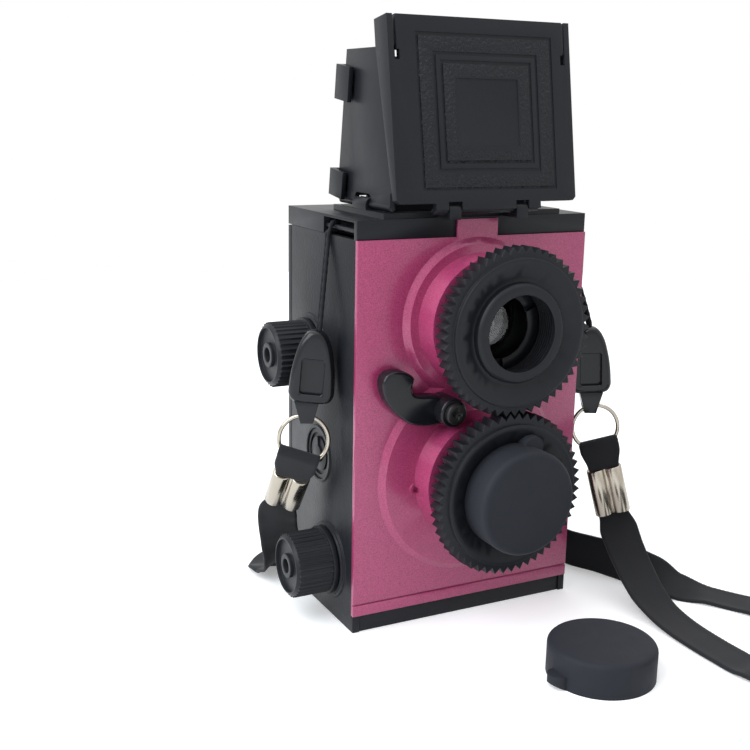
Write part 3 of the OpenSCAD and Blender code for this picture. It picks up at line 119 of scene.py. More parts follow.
FINISHES: dict[Slot, Finish] = {
    Slot.BLACK: Finish((0.0085, 0.0095, 0.0125), 0.4, spread=0.07, tint=0.15, grain=0.4, relief=0.014, specular=0.22),
    Slot.INNER: Finish((0.006, 0.006, 0.007), 0.6, tint=0.15, grain=0.3, relief=0.01, specular=0.2),
    Slot.WHITE: Finish((0.72, 0.72, 0.68), 0.45, spread=0.05, tint=0.04, grain=0.6, relief=0.006),
    Slot.PINK: Finish((0.34, 0.04, 0.125), 0.38, spread=0.05, tint=0.2, grain=0.22, relief=0.008, metallic=0.2,
                      coat=0.6, coat_roughness=0.12, specular=0.4),
    Slot.RUBBER: Finish((0.016, 0.018, 0.024), 0.7, spread=0.08, grain=0.25, relief=0.008, specular=0.22),
    Slot.GLASS: Finish((0.92, 0.96, 0.97), 0.02, spread=0.01, tint=0.0, grain=3.0, relief=0.0, transmission=1.0),
    Slot.MIRROR: Finish((0.86, 0.88, 0.89), 0.03, spread=0.01, tint=0.02, grain=4.0, relief=0.0, metallic=1.0),
    # Ground screen: its own grey, darkened further as painted shade for the dim inside of the body.
    Slot.SCREEN: Finish((0.4, 0.42, 0.42), 0.5, spread=0.05, tint=0.03, grain=0.12, relief=0.006),
    Slot.STEEL: Finish((0.42, 0.38, 0.32), 0.22, tint=0.1, grain=0.5, relief=0.003, metallic=1.0),
    Slot.BLACK_STEEL: Finish((0.035, 0.035, 0.036), 0.4, spread=0.08, tint=0.2, grain=0.3, relief=0.006, metallic=0.7),
    Slot.BRASS: Finish((0.72, 0.5, 0.2), 0.32, spread=0.08, tint=0.1, grain=0.4, relief=0.004, metallic=1.0),
    Slot.FABRIC: Finish((0.0105, 0.011, 0.0135), 0.78, spread=0.05, tint=0.25, grain=0.18, relief=0.02,
                        specular=0.22, sheen=0.1),
}
POLISHED = Finish((0.008, 0.0085, 0.011), 0.2, spread=0.04, tint=0.1, grain=0.6, relief=0.004, specular=0.3)
CORD = Finish((0.007, 0.0075, 0.01), 0.75, grain=0.15, relief=0.02, specular=0.2, sheen=0.05)


@dataclass(frozen=True)
class Grain:
    """Sizes of the patterns that materials share.

    Attributes:
        blotch: Size of the colour's blotches in millimetres.
        wear: Size of the roughness's blotches.
        flake: Size of a flake in the paint.
        flake_tint: How far the flakes' colour wanders, as a share.
        leather: Size of a pebble in the side plates' grain.
        leather_depth: Weight of the pebbles there.
        leather_height: Height of that grain.
        speck: Size of the specks on a pebble.
    """

    blotch: float = 14.0
    wear: float = 5.0
    flake: float = 0.16
    flake_tint: float = 0.4
    leather: float = 0.75
    leather_depth: float = 0.8
    leather_height: float = 0.05
    speck: float = 0.5


@dataclass(frozen=True)
class LidPattern:
    """Where the raised squares of the lid stand, and the pebbled bands between them.

    Attributes:
        half_w: Half width of the outer square in millimetres.
        half_h: Half its height.
        middle_x: Middle of the squares across.
        middle_z: Middle of the squares in height.
        bands: Inner and outer edge of each pebbled band, as shares of the outer square.
        pebble: Size of a pebble.
        pebble_depth: Weight of the pebbles.
        height: Height of the whole pattern.
        smooth_share: Share of the plastic's own grain in it.
    """

    half_w: float = 18.0
    half_h: float = 17.1
    middle_x: float = 0.8
    middle_z: float = 122.3
    bands: tuple[Flat, ...] = ((0.785, 0.97), (0.475, 0.635))
    pebble: float = 0.8
    pebble_depth: float = 1.0
    height: float = 0.35
    smooth_share: float = 0.12


GRAIN = Grain()
LID = LidPattern()


class Nodes:
    """Small helper that builds one material's node tree."""

    def __init__(self, name: str) -> None:
        """Start a material with an empty tree.

        Args:
            name: The material's name.
        """
        self.material = bpy.data.materials.new(name)
        self.material.use_nodes = True
        self.tree = self.material.node_tree
        self.tree.nodes.clear()
        self.output = self.add("ShaderNodeOutputMaterial")

    def add(self, kind: str, **values: object) -> bpy.types.Node:
        """Add a node.

        Args:
            kind: The node's type.
            values: Attributes to set, or input sockets by name.

        Returns:
            The node.
        """
        node = self.tree.nodes.new(kind)
        for key, value in values.items():
            if hasattr(node, key):
                setattr(node, key, value)
            else:
                node.inputs[key.replace("_", " ")].default_value = value
        return node

    def link(self, source: bpy.types.NodeSocket, target: bpy.types.NodeSocket) -> None:
        """Join two sockets.

        Args:
            source: The output socket.
            target: The input socket.
        """
        self.tree.links.new(source, target)

    def maths(self, operation: str, *values: object) -> bpy.types.NodeSocket:
        """Add a maths node.

        Args:
            operation: Blender's name of the operation.
            values: Numbers or sockets for its inputs.

        Returns:
            Its output socket.
        """
        node = self.add("ShaderNodeMath", operation=operation)
        for place, value in enumerate(values):
            if isinstance(value, (int, float)):
                node.inputs[place].default_value = value
            else:
                self.link(value, node.inputs[place])
        return node.outputs[0]

    def noise(self, vector: bpy.types.NodeSocket, size: float, detail: float = 3.0) -> bpy.types.NodeSocket:
        """Add a noise texture.

        Args:
            vector: Where it is read, in metres.
            size: Size of its blotches in millimetres.
            detail: Octaves of detail.

        Returns:
            Its value socket.
        """
        node = self.add("ShaderNodeTexNoise", Scale=1.0 / (size * MM), Detail=detail, Roughness=0.55)
        self.link(vector, node.inputs["Vector"])
        return node.outputs[0]

    def ramp(self, value: bpy.types.NodeSocket, low: float, high: float) -> bpy.types.NodeSocket:
        """Map a value in 0 to 1 onto another range.

        Args:
            value: The value.
            low: What 0 becomes.
            high: What 1 becomes.

        Returns:
            The mapped value.
        """
        node = self.add("ShaderNodeMapRange")
        node.inputs["To Min"].default_value = low
        node.inputs["To Max"].default_value = high
        self.link(value, node.inputs["Value"])
        return node.outputs["Result"]

    def tinted(self, value: bpy.types.NodeSocket, colour: Spot, tint: float) -> bpy.types.NodeSocket:
        """Make a colour that wanders round a middle one.

        Args:
            value: What it follows, in 0 to 1.
            colour: The middle colour.
            tint: How far it wanders, as a share.

        Returns:
            The colour socket.
        """
        mix = self.add("ShaderNodeMix", data_type="RGBA")
        mix.inputs["A"].default_value = tuple(c * (1 - tint) for c in colour) + (1.0,)
        mix.inputs["B"].default_value = tuple(min(1.0, c * (1 + tint)) for c in colour) + (1.0,)
        self.link(value, mix.inputs["Factor"])
        return mix.outputs["Result"]

    def pebbles(self, vector: bpy.types.NodeSocket, size: float, depth: float) -> bpy.types.NodeSocket:
        """Pebbled grain of moulded plastic.

        Args:
            vector: Where it is read, in metres.
            size: Size of a pebble in millimetres.
            depth: Weight of the pebbles.

        Returns:
            The height socket.
        """
        cells = self.add("ShaderNodeTexVoronoi", Scale=1.0 / (size * MM), feature="SMOOTH_F1")
        self.link(vector, cells.inputs["Vector"])
        sunk = self.maths("MULTIPLY", cells.outputs["Distance"], -depth)
        return self.maths("ADD", sunk, self.noise(vector, GRAIN.speck))


class Materials:
    """Makes each finish once and hands it out."""

    def __init__(self) -> None:
        """Start with no material made."""
        self._made: dict[str, bpy.types.Material] = {}

    def get(self, slot: Slot) -> bpy.types.Material:
        """Plain finish of a slot.

        Args:
            slot: The record's slot.

        Returns:
            Its material.
        """
        return self.named(slot.value, FINISHES[slot])

    def named(self, name: str, finish: Finish, detail: Detail = Detail.PLAIN) -> bpy.types.Material:
        """A finish under a name of its own.

        Args:
            name: The material's name.
            finish: The finish.
            detail: The pattern added to it.

        Returns:
            The material.
        """
        if name not in self._made:
            self._made[name] = self._built(name, finish, detail)
        return self._made[name]

    def _built(self, name: str, finish: Finish, detail: Detail) -> bpy.types.Material:
        """Build a material from its finish.

        Args:
            name: The material's name.
            finish: The finish.
            detail: The pattern added to it.

        Returns:
            The material.
        """
        n = Nodes(name)
        shader = n.add("ShaderNodeBsdfPrincipled")
        n.link(shader.outputs[0], n.output.inputs["Surface"])
        where = n.add("ShaderNodeTexCoord").outputs["Object"]
        height, reach = n.noise(where, finish.grain, 2.0), finish.relief
        n.link(n.tinted(n.noise(where, GRAIN.blotch, 4.0), finish.colour, finish.tint), shader.inputs["Base Color"])
        n.link(n.ramp(n.noise(where, GRAIN.wear, 5.0), finish.roughness - finish.spread,
                      finish.roughness + finish.spread), shader.inputs["Roughness"])
        for socket, value in (
                ("Metallic", finish.metallic), ("Specular IOR Level", finish.specular), ("Coat Weight", finish.coat),
                ("Coat Roughness", finish.coat_roughness), ("Sheen Weight", finish.sheen),
                ("Transmission Weight", finish.transmission)):
            shader.inputs[socket].default_value = value
        if detail is Detail.LID:
            height, reach = self._lid_bands(n, where, height), LID.height
        if detail is Detail.LEATHER:
            height, reach = n.pebbles(where, GRAIN.leather, GRAIN.leather_depth), GRAIN.leather_height
        if detail is Detail.FLAKES:
            cells = n.add("ShaderNodeTexVoronoi", Scale=1.0 / (GRAIN.flake * MM))
            n.link(where, cells.inputs["Vector"])
            flakes = n.tinted(cells.outputs["Color"], finish.colour, GRAIN.flake_tint)
            n.link(flakes, shader.inputs["Base Color"])
        if reach > 0:
            bump = n.add("ShaderNodeBump", Strength=1.0, Distance=reach * MM)
            n.link(height, bump.inputs["Height"])
            n.link(bump.outputs[0], shader.inputs["Normal"])
        return n.material

    @staticmethod
    def _lid_bands(n: Nodes, where: bpy.types.NodeSocket, fine: bpy.types.NodeSocket) -> bpy.types.NodeSocket:
        """Pebbled bands of the lid, left smooth at the border, the lines and the middle.

        Args:
            n: The material.
            where: Object coordinates.
            fine: The plastic's own fine grain.

        Returns:
            The height socket.
        """
        parts = n.add("ShaderNodeSeparateXYZ")
        n.link(where, parts.inputs[0])
        shares = []
        for axis, middle, half in (("X", LID.middle_x, LID.half_w), ("Z", LID.middle_z, LID.half_h)):
            away = n.maths("ABSOLUTE", n.maths("SUBTRACT", parts.outputs[axis], middle * MM))
            shares.append(n.maths("DIVIDE", away, half * MM))
        ring = n.maths("MAXIMUM", *shares)
        bands = [n.maths("MULTIPLY", n.maths("LESS_THAN", ring, outer), n.maths("GREATER_THAN", ring, inner))
                 for inner, outer in LID.bands]
        pebbles = n.pebbles(where, LID.pebble, LID.pebble_depth)
        masked = n.maths("MULTIPLY", pebbles, n.maths("ADD", *bands))
        return n.maths("ADD", masked, n.maths("MULTIPLY", fine, LID.smooth_share))


@dataclass(frozen=True)
class CameraRig:
    """The photograph's viewpoint.

    Attributes:
        place: Camera position in millimetres.
        azimuth: Direction of view from +Y towards +X, in degrees.
        drop: Angle below the horizon, in degrees.
        roll: Roll in degrees.
        lens: Focal length in millimetres.
        sensor: Width of the sensor in millimetres.
        reach: Nearest and farthest distance that it sees, in metres.
    """

    place: Spot = (-139.84, -242.80, 123.71)
    azimuth: float = 27.02
    drop: float = 13.5
    roll: float = 1.0
    lens: float = 53.85
    sensor: float = 36.0
    reach: Flat = (0.01, 20.0)

    def build(self) -> bpy.types.Object:
        """Make the camera and set it as the scene's own.

        Returns:
            The camera object.
        """
        az, el, ro = (math.radians(a) for a in (self.azimuth, self.drop, self.roll))
        ahead = Vector((math.sin(az) * math.cos(el), math.cos(az) * math.cos(el), -math.sin(el)))
        right = Vector((math.cos(az), -math.sin(az), 0.0))
        up = right.cross(ahead)
        side = math.cos(ro) * right + math.sin(ro) * up
        top = -math.sin(ro) * right + math.cos(ro) * up
        data = bpy.data.cameras.new("camera")
        data.lens, data.sensor_width = self.lens, self.sensor
        data.clip_start, data.clip_end = self.reach
        obj = bpy.data.objects.new("camera", data)
        obj.matrix_world = Matrix((side, top, -ahead)).transposed().to_4x4()
        obj.location = Vector(self.place) * MM
        bpy.context.collection.objects.link(obj)
        bpy.context.scene.camera = obj
        return obj


def moulded(bm: bmesh.types.BMesh, name: str) -> bpy.types.Mesh:
    """Turn a built form into a mesh with smooth faces and crisp corners.

    Args:
        bm: The form, which is freed.
        name: The mesh's name.

    Returns:
        The mesh.
    """
    mesh = bpy.data.meshes.new(name)
    bm.to_mesh(mesh)
    bm.free()
    mesh.shade_smooth()
    mesh.set_sharp_from_angle(angle=CRISP)
    return mesh


def sewn(name: str, verts: list[Vector], faces: list[tuple[int, ...]]) -> bpy.types.Mesh:
    """Turn points and faces into a smooth mesh.

    Args:
        name: The mesh's name.
        verts: Points in metres.
        faces: Faces by point number.

    Returns:
        The mesh.
    """
    mesh = bpy.data.meshes.new(name)
    mesh.from_pydata([tuple(v) for v in verts], [], faces)
    mesh.validate()
    mesh.shade_smooth()
    return mesh


def riding(mesh: bpy.types.Mesh, body: str, slot: Slot, material: bpy.types.Material,
           stands_for: tuple[str, ...]) -> bpy.types.Object:
    """Make a mesh into a piece that rides on a body.

    Args:
        mesh: The mesh, whose name the piece takes.
        body: The body it rides on.
        slot: Its material slot; not used.
        material: Its material.
        stands_for: The nodes that it replaces.

    Returns:
        The piece.
    """
    mesh.materials.append(material)
    obj = bpy.data.objects.new(mesh.name, mesh)
    bpy.context.collection.objects.link(obj)
    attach(obj, body)
    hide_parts(*stands_for)
    return obj


def smooth_rows(rows: list[Row], step: float, fine: float = 0.25, least: int = 4) -> list[Row]:
    """Run a smooth curve through rows and read it at even steps.

    Args:
        rows: Place and width direction, in millimetres.
        step: Distance between the new rows.
        fine: Distance between the points that the curve is first read at.
        least: Fewest such points between two rows.

    Returns:
        The new rows.
    """
    points = [Vector(r[:3]) for r in rows]
    widths = [Vector(r[3:]).normalized() for r in rows]
    dense: list[tuple[Vector, Vector]] = []
    for i in range(len(points) - 1):
        a, b = points[i], points[i + 1]
        span = (b - a).length
        before = points[i - 1] if i else a * 2 - b
        after = points[i + 2] if i + 2 < len(points) else b * 2 - a
        ta = (b - before) * (span / max(1e-6, (a - before).length + span))
        tb = (after - a) * (span / max(1e-6, (after - b).length + span))
        count = max(least, int(span / fine))
        for k in range(count):
            s = k / count
            h = (2 * s**3 - 3 * s**2 + 1, s**3 - 2 * s**2 + s, 3 * s**2 - 2 * s**3, s**3 - s**2)
            place = a * h[0] + ta * h[1] + b * h[2] + tb * h[3]
            blend = s * s * (3 - 2 * s)
            dense.append((place, widths[i].lerp(widths[i + 1], blend).normalized()))
    dense.append((points[-1], widths[-1]))
    even, left = [dense[0]], step
    for (p, w), (q, v) in zip(dense, dense[1:]):
        gap = (q - p).length
        while gap >= left > 0:
            even.append((p.lerp(q, left / gap), w.lerp(v, left / gap).normalized()))
            p, w, gap, left = even[-1][0], even[-1][1], gap - left, step
        left -= gap
    even[-1] = dense[-1]
    return [(*p, *w) for p, w in even]


def run_of(rows: list[Row]) -> list[float]:
    """Distance along the line through rows.

    Args:
        rows: The rows.

    Returns:
        The distance of each row from the first, in millimetres.
    """
    run = [0.0]
    for a, b in zip(rows, rows[1:]):
        run.append(run[-1] + (Vector(b[:3]) - Vector(a[:3])).length)
    return run


def gathered(rows: list[Row], share: float, reach: float) -> list[float]:
    """Share of a ribbon's width at each row, where both ends are gathered into a ferrule.

    Args:
        rows: The ribbon's rows.
        share: Share of the width in the ferrule.
        reach: Length over which the ribbon opens out, in millimetres.

    Returns:
        The shares.
    """
    run = run_of(rows)
    opened = [min(min(s, run[-1] - s) / reach, 1.0) for s in run]
    return [share + (1.0 - share) * o * o * (3.0 - 2.0 * o) for o in opened]


def across(rows: list[Row], i: int) -> tuple[Vector, Vector]:
    """Directions of the width and the thickness at a row.

    Args:
        rows: The rows.
        i: Which row.

    Returns:
        The two directions.
    """
    before, after = rows[max(i - 1, 0)], rows[min(i + 1, len(rows) - 1)]
    along = (Vector(after[:3]) - Vector(before[:3])).normalized()
    wide = Vector(rows[i][3:])
    wide = (wide - along * wide.dot(along)).normalized()
    return wide, along.cross(wide)


def swept(rows: list[Row], sections: list[list[Flat]]) -> tuple[list[Vector], list[tuple[int, ...]]]:
    """Sweep a section along rows and close both ends.

    Args:
        rows: Place and width direction, in millimetres.
        sections: The section at each row, in points across the width and the thickness.

    Returns:
        Points in metres and faces.
    """
    verts: list[Vector] = []
    for i, (row, section) in enumerate(zip(rows, sections)):
        wide, thick = across(rows, i)
        verts += [(Vector(row[:3]) + wide * a + thick * b) * MM for a, b in section]
    n, last = len(sections[0]), len(rows) - 1
    faces: list[tuple[int, ...]] = []
    for i in range(last):
        for j in range(n):
            k = (j + 1) % n
            faces.append((i * n + j, (i + 1) * n + j, (i + 1) * n + k, i * n + k))
    faces += [tuple(range(n)), tuple(last * n + j for j in reversed(range(n)))]
    return verts, faces


# Ribbon from the left ferrule, round the rear of the body and to the coil: place, then direction of its width
LEFT_ROUTE: list[Row] = [
    (-39.12, 4.67, 26.81, 0.854, -0.43, -0.292), (-39.2, 7.6, 22.9, 0.86, -0.46, -0.2),
    (-38.2, 10, 18.6, 0.88, -0.46, 0.06), (-36.9, 12, 14, 0.8, -0.4, 0.44), (-35.9, 14.2, 9.8, 0.62, -0.3, 0.72),
    (-35.7, 17, 6.4, 0.58, -0.28, 0.76), (-35.7, 20.6, 3.6, 0.74, -0.34, 0.58),
    (-35.6, 24.8, 1.2, 0.82, -0.56, 0.1), (-31.5, 29.8, 0.6, 0.6, -0.8, 0), (-24.5, 34, 0.6, 0.4, -0.92, 0),
    (-16, 36.4, 0.6, 0.15, -1, 0), (-6, 37.5, 0.6, 0, -1, 0), (6, 37.2, 0.6, -0.05, -1, 0),
    (17, 35.6, 0.6, -0.25, -0.97, 0), (26, 32.6, 0.6, -0.42, -0.9, 0), (33.5, 28, 0.7, -0.7, -0.7, 0),
    (38.5, 22, 0.8, -0.87, -0.49, 0.02), (40.6, 14, 3.4, -0.8, -0.12, 0.57), (41, 4, 5.2, -0.26, 0, 0.97),
    (41.7, -6.6, 5.2, 0, 0, 1), (45.2, -13.8, 5.2, 0, 0, 1), (48.9, -20.4, 5, 0.2, 0.1, 0.97),
    (52.5, -28.2, 4.2, 0.6, 0.3, 0.74), (56.6, -34.6, 2, 0.84, 0.45, 0.28), (62.4, -41.2, 0.8, 0.78, 0.62, 0),
    (67.7, -49.8, 0.8, 0.86, 0.5, 0), (70, -58, 3, 0.86, 0.1, 0.5), (67.5, -68, 5.4, 0.37, -0.2, 0.9),
    (61.6, -77.5, 5.9, 0, 0, 1), (55, -86.5, 5.9, 0, 0, 1), (51.5, -93.5, 5.9, 0, 0, 1), (50.7, -99, 5.9, 0, 0, 1),
]
# Ribbon from the right ferrule to the coil's other end
RIGHT_ROUTE: list[Row] = [
    (44.9, -21.05, 19.9, 0.86, -0.435, 0.26), (45.5, -22.8, 16.1, 0.88, -0.4, 0.2),
    (45, -26.7, 12.2, 0.93, -0.3, 0.12), (44.1, -32.2, 8.1, 0.97, -0.2, 0.08),
    (42.9, -38.8, 4.6, 0.99, -0.1, 0.05), (42.6, -45, 2.2, 1, 0, 0), (42.5, -52, 1, 1, 0, 0),
    (42.4, -60, 0.7, 1, 0, 0), (42.5, -68, 0.7, 1, 0, 0), (42.9, -74.7, 0.9, 1, 0.1, 0),
    (44.2, -82, 3.4, 0.8, 0.1, 0.57), (45.7, -90, 5.4, 0.26, 0, 0.97), (46.4, -99, 5.9, 0, 0, 1),
]
# Thin cords from a buckle up, round the lug pin and back
LEFT_CORD: tuple[Spot, ...] = (
    (-35.7, -10, 72), (-35.45, -9.95, 74.2), (-34.5, -8.95, 79), (-33.6, -7.9, 83.5), (-32.6, -6.75, 88.5),
    (-31.8, -5.85, 92.5), (-31.6, -5.6, 94.2), (-31.3, -5.58, 95.4), (-30.95, -5.5, 96.3),
    (-30.61, -5.42, 97.11), (-29.8, -5.3, 97.45), (-28.99, -5.1, 97.11), (-28.65, -4.95, 96.3),
    (-28.99, -4.8, 95.49), (-29.8, -4.65, 95.15), (-31, -4.55, 95.1), (-31.45, -4.53, 94.85),
    (-31.6, -4.52, 94.3), (-31.8, -4.8, 92.5), (-32.6, -5.68, 88.5), (-33.6, -6.83, 83.5),
    (-34.5, -7.88, 79), (-35.45, -8.88, 74.2), (-35.7, -8.95, 72),
)
RIGHT_CORD: tuple[Spot, ...] = (
    (36.7, -17.3, 69), (36.5, -17, 71), (35.6, -15, 77), (34.3, -12.4, 84), (32.9, -9.8, 90.5),
    (31.7, -8.6, 94), (31.3, -8.55, 95.4), (30.95, -8.5, 96.3), (30.61, -8.42, 97.11), (29.8, -8.3, 97.45),
    (28.99, -8.1, 97.11), (28.65, -7.95, 96.3), (28.99, -7.8, 95.49), (29.8, -7.65, 95.15),
    (31, -7.55, 95.1), (31.45, -7.53, 94.85), (31.7, -7.5, 94.1), (32.9, -8.75, 90.5), (34.3, -11.3, 84),
    (35.6, -13.9, 77), (36.5, -15.9, 71), (36.7, -16.2, 69),
)


@dataclass(frozen=True)
class Hanger:
    """How one end of the strap hangs, in millimetres and degrees.

    Attributes:
        side: Left or right.
        ring: Centre of the split ring.
        turn: Angles that the ribbon hangs at, of which the last is the fittings' too.
        rise: Height of the ribbon's fold above the ring's wire.
        buckle: Lower middle of the buckle.
        lean: Lean of the buckle.
        cord: Route of the thin cord.
    """

    side: str
    ring: Spot
    turn: Spot
    rise: float
    buckle: Spot
    lean: float
    cord: tuple[Spot, ...]


HANGERS: tuple[Hanger, ...] = (
    Hanger("left", (-38.7, -7.8, 46.35), (37.0, 17.0, -26.7), 2.9, (-37.4, -8.7, 55.6), 4.6, LEFT_CORD),
    Hanger("right", (39.3, -18.25, 43.2), (0.0, -15.0, -26.8), 1.3, (37.5, -17.3, 52.5), -3.3, RIGHT_CORD),
)


@dataclass(frozen=True)
class Strap:
    """Ribbon neck strap with its thin cord loops, in the places of the CAD solids, in millimetres.

    Attributes:
        materials: The finishes.
        width: Width of the ribbon.
        thick: Its thickness.
        loop_thick: Its thickness in the loops.
        selvedge: Distance of the selvedge's crest and foot from the ribbon's edge.
        section_shares: Shares of the thickness at the edge, the selvedge's foot and the web.
        web_share: Share of the width that the flat web takes.
        rib: Distance between the woven ribs.
        rib_share: Share of the thickness between ribs.
        gather: Share of the width in a ferrule.
        gather_reach: Length over which the ribbon opens out.
        ring_r: Radius of a split ring.
        fold_r: Radius of the fold round a ring.
        fold_foot: Reach of the fold below the ring's wire.
        fold_steps: Rows along a side of the fold and round its top.
        cord_r: Radius of the thin cord.
        cord_step: Distance between its rows.
        cord_sides: Points round it.
        cord_width: Direction that its points start from.
        strands: Strands twisted into it.
        strand_share: Share of its radius that the strands stand out by.
        twist: Turn of the strands from row to row, in radians.
        coil_middle: Middle of the coil.
        coil_r: Radius of the coil's inner turn.
        coil_pitch: Growth of the radius in a turn.
        coil_steps: Rows in half a turn.
        fittings: Hard fittings that hang with the ribbon.
    """

    materials: Materials
    width: float = 10.0
    thick: float = 1.0
    loop_thick: float = 0.8
    selvedge: Flat = (0.25, 0.9)
    section_shares: Spot = (0.5, 0.8, 0.78)
    web_share: float = 0.4
    rib: float = 1.1
    rib_share: float = 0.86
    gather: float = 0.78
    gather_reach: float = 5.0
    ring_r: float = 5.9
    fold_r: float = 1.15
    fold_foot: float = 5.35
    fold_steps: tuple[int, int] = (6, 10)
    cord_r: float = 0.5
    cord_step: float = 0.3
    cord_sides: int = 12
    cord_width: Spot = (0.0, 1.0, 0.3)
    strands: int = 3
    strand_share: float = 0.08
    twist: float = 0.9
    coil_middle: Spot = (95.0, -99.0, 5.9)
    coil_r: float = 40.0
    coil_pitch: float = 8.6
    coil_steps: int = 24
    fittings: tuple[str, ...] = ("tie", "ferrules", "plugs", "buckles")

    def turned(self, offset: float, radius: float, degrees: float) -> Row:
        """One row of the coil, where the ribbon stands on its edge.

        Args:
            offset: How far the turn's centre is from the coil's middle.
            radius: Radius of the turn there.
            degrees: Angle round the turn.

        Returns:
            The row.
        """
        (x, y, z), a = self.coil_middle, math.radians(degrees)
        return (x + offset + radius * math.cos(a), y + radius * math.sin(a), z, 0, 0, 1)

    def coil(self) -> list[Row]:
        """Rows of the coil, from the left run's end to the right run's end.

        Returns:
            The rows.
        """
        n, r, half = self.coil_steps, self.coil_r, self.coil_r / 2
        inward = [0.5 * (1 - i / n) for i in range(1, n + 1)]
        outward = [i / (2 * n) for i in range(2 * n)]
        rows = [self.turned(0.0, r + self.coil_pitch * t, -360 * t) for t in inward]
        rows += [self.turned(half, half, 180 * i / n) for i in range(1, n)]
        rows += [self.turned(-half, half, -180 * i / n) for i in range(n)]
        return rows + [self.turned(0.0, r + self.coil_pitch * t, 180 - 360 * t) for t in outward]

    def ribbon(self, name: str, route: list[Row], thick: float) -> tuple[bpy.types.Mesh, list[Row]]:
        """Woven ribbon along a route, ribbed across and gathered at both ends.

        Args:
            name: The mesh's name.
            route: Place and width direction, in millimetres.
            thick: The ribbon's thickness.

        Returns:
            The mesh, which lies on the floor at the lowest, and its even rows.
        """
        rows = smooth_rows(route, self.rib / 2)
        w, t = self.width / 2, thick / 2
        crest, foot = (w - s for s in self.selvedge)
        edge, dip, web = (t * s for s in self.section_shares)
        flat = w * self.web_share
        half = [(-w, -edge), (-crest, -t), (-foot, -dip), (-flat, -web),
                (flat, -web), (foot, -dip), (crest, -t), (w, -edge)]
        section = half + [(-a, -b) for a, b in half]
        shares = gathered(rows, self.gather, self.gather_reach)
        ribs = [1.0 if i % 2 else self.rib_share for i in range(len(rows))]
        verts, faces = swept(rows, [[(a * s, b * r) for a, b in section] for s, r in zip(shares, ribs)])
        return sewn(name, [Vector((v.x, v.y, max(v.z, 0.0))) for v in verts], faces), rows

    def build(self) -> list[bpy.types.Object]:
        """Returns:
            The pieces.
        """
        cloth = self.materials.named("strap_ribbon", FINISHES[Slot.FABRIC])
        route = LEFT_ROUTE + self.coil() + RIGHT_ROUTE[::-1]
        mesh, rows = self.ribbon("strap_ribbon", route, self.thick)
        ribbon = riding(mesh, "camera", Slot.FABRIC, cloth, ("strap_left_run", "strap_right_run", "strap_coil"))
        loops = [self.loop(hanger, cloth) for hanger in HANGERS]
        path = [Vector(r[:3]) * MM for r in rows]
        fittings = [bpy.data.objects[f"strap_{part}_round"] for part in self.fittings]
        round(run_of(rows)[-1] * MM, 3)
        return [ribbon, *(self.thin_cord(hanger) for hanger in HANGERS), *loops]

    def loop(self, hanger: Hanger, cloth: bpy.types.Material) -> bpy.types.Object:
        """Folded end of the ribbon round a split ring.

        Args:
            hanger: How this end hangs.
            cloth: The ribbon's material.

        Returns:
            The piece.
        """
        a, b, c = (math.radians(v) for v in hanger.turn)
        base = Matrix.Translation(Vector(hanger.ring)) @ Euler((0, b, c)).to_matrix().to_4x4()
        place = base @ Matrix.Translation((0, 0, -self.ring_r)) @ Matrix.Rotation(a, 4, "X")
        wide = (place.to_3x3() @ Vector((1, 0, 0))).normalized()
        r, foot, rise, (n, top) = self.fold_r, self.fold_foot, hanger.rise, self.fold_steps
        fold = [(-r, (foot + rise) * i / n - foot) for i in range(n)]
        fold += [(-r * math.cos(t), rise + r * math.sin(t)) for t in (math.pi * i / top for i in range(top + 1))]
        fold += [(r, rise - (foot + rise) * (i + 1) / n) for i in range(n)]
        route = [(*(place @ Vector((0, y, z))), *wide) for y, z in fold]
        mesh, _ = self.ribbon(f"strap_{hanger.side}_loop", route, self.loop_thick)
        return riding(mesh, "camera", Slot.FABRIC, cloth, ("ribbon_loops",))

    def thin_cord(self, hanger: Hanger) -> bpy.types.Object:
        """Twisted cord that ties a buckle to its lug.

        Args:
            hanger: How this end hangs.

        Returns:
            The piece.
        """
        rows = smooth_rows([(*p, *self.cord_width) for p in hanger.cord], self.cord_step)
        turns = [math.tau * j / self.cord_sides for j in range(self.cord_sides)]
        sections: list[list[Flat]] = []
        for i in range(len(rows)):
            lobes = [1 + self.strand_share * (math.cos(self.strands * t + i * self.twist) - 1) for t in turns]
            reach = [self.cord_r * lobe for lobe in lobes]
            sections.append([(r * math.cos(t), r * math.sin(t)) for r, t in zip(reach, turns)])
        mesh = sewn(f"strap_{hanger.side}_cord", *swept(rows, sections))
        cloth = self.materials.named("strap_cord", CORD)
        cord = riding(mesh, "camera", Slot.FABRIC, cloth, ("strap_cords",))
        path = [Vector(r[:3]) * MM for r in rows]
        round(run_of(rows)[-1] * MM, 4)
        return cord


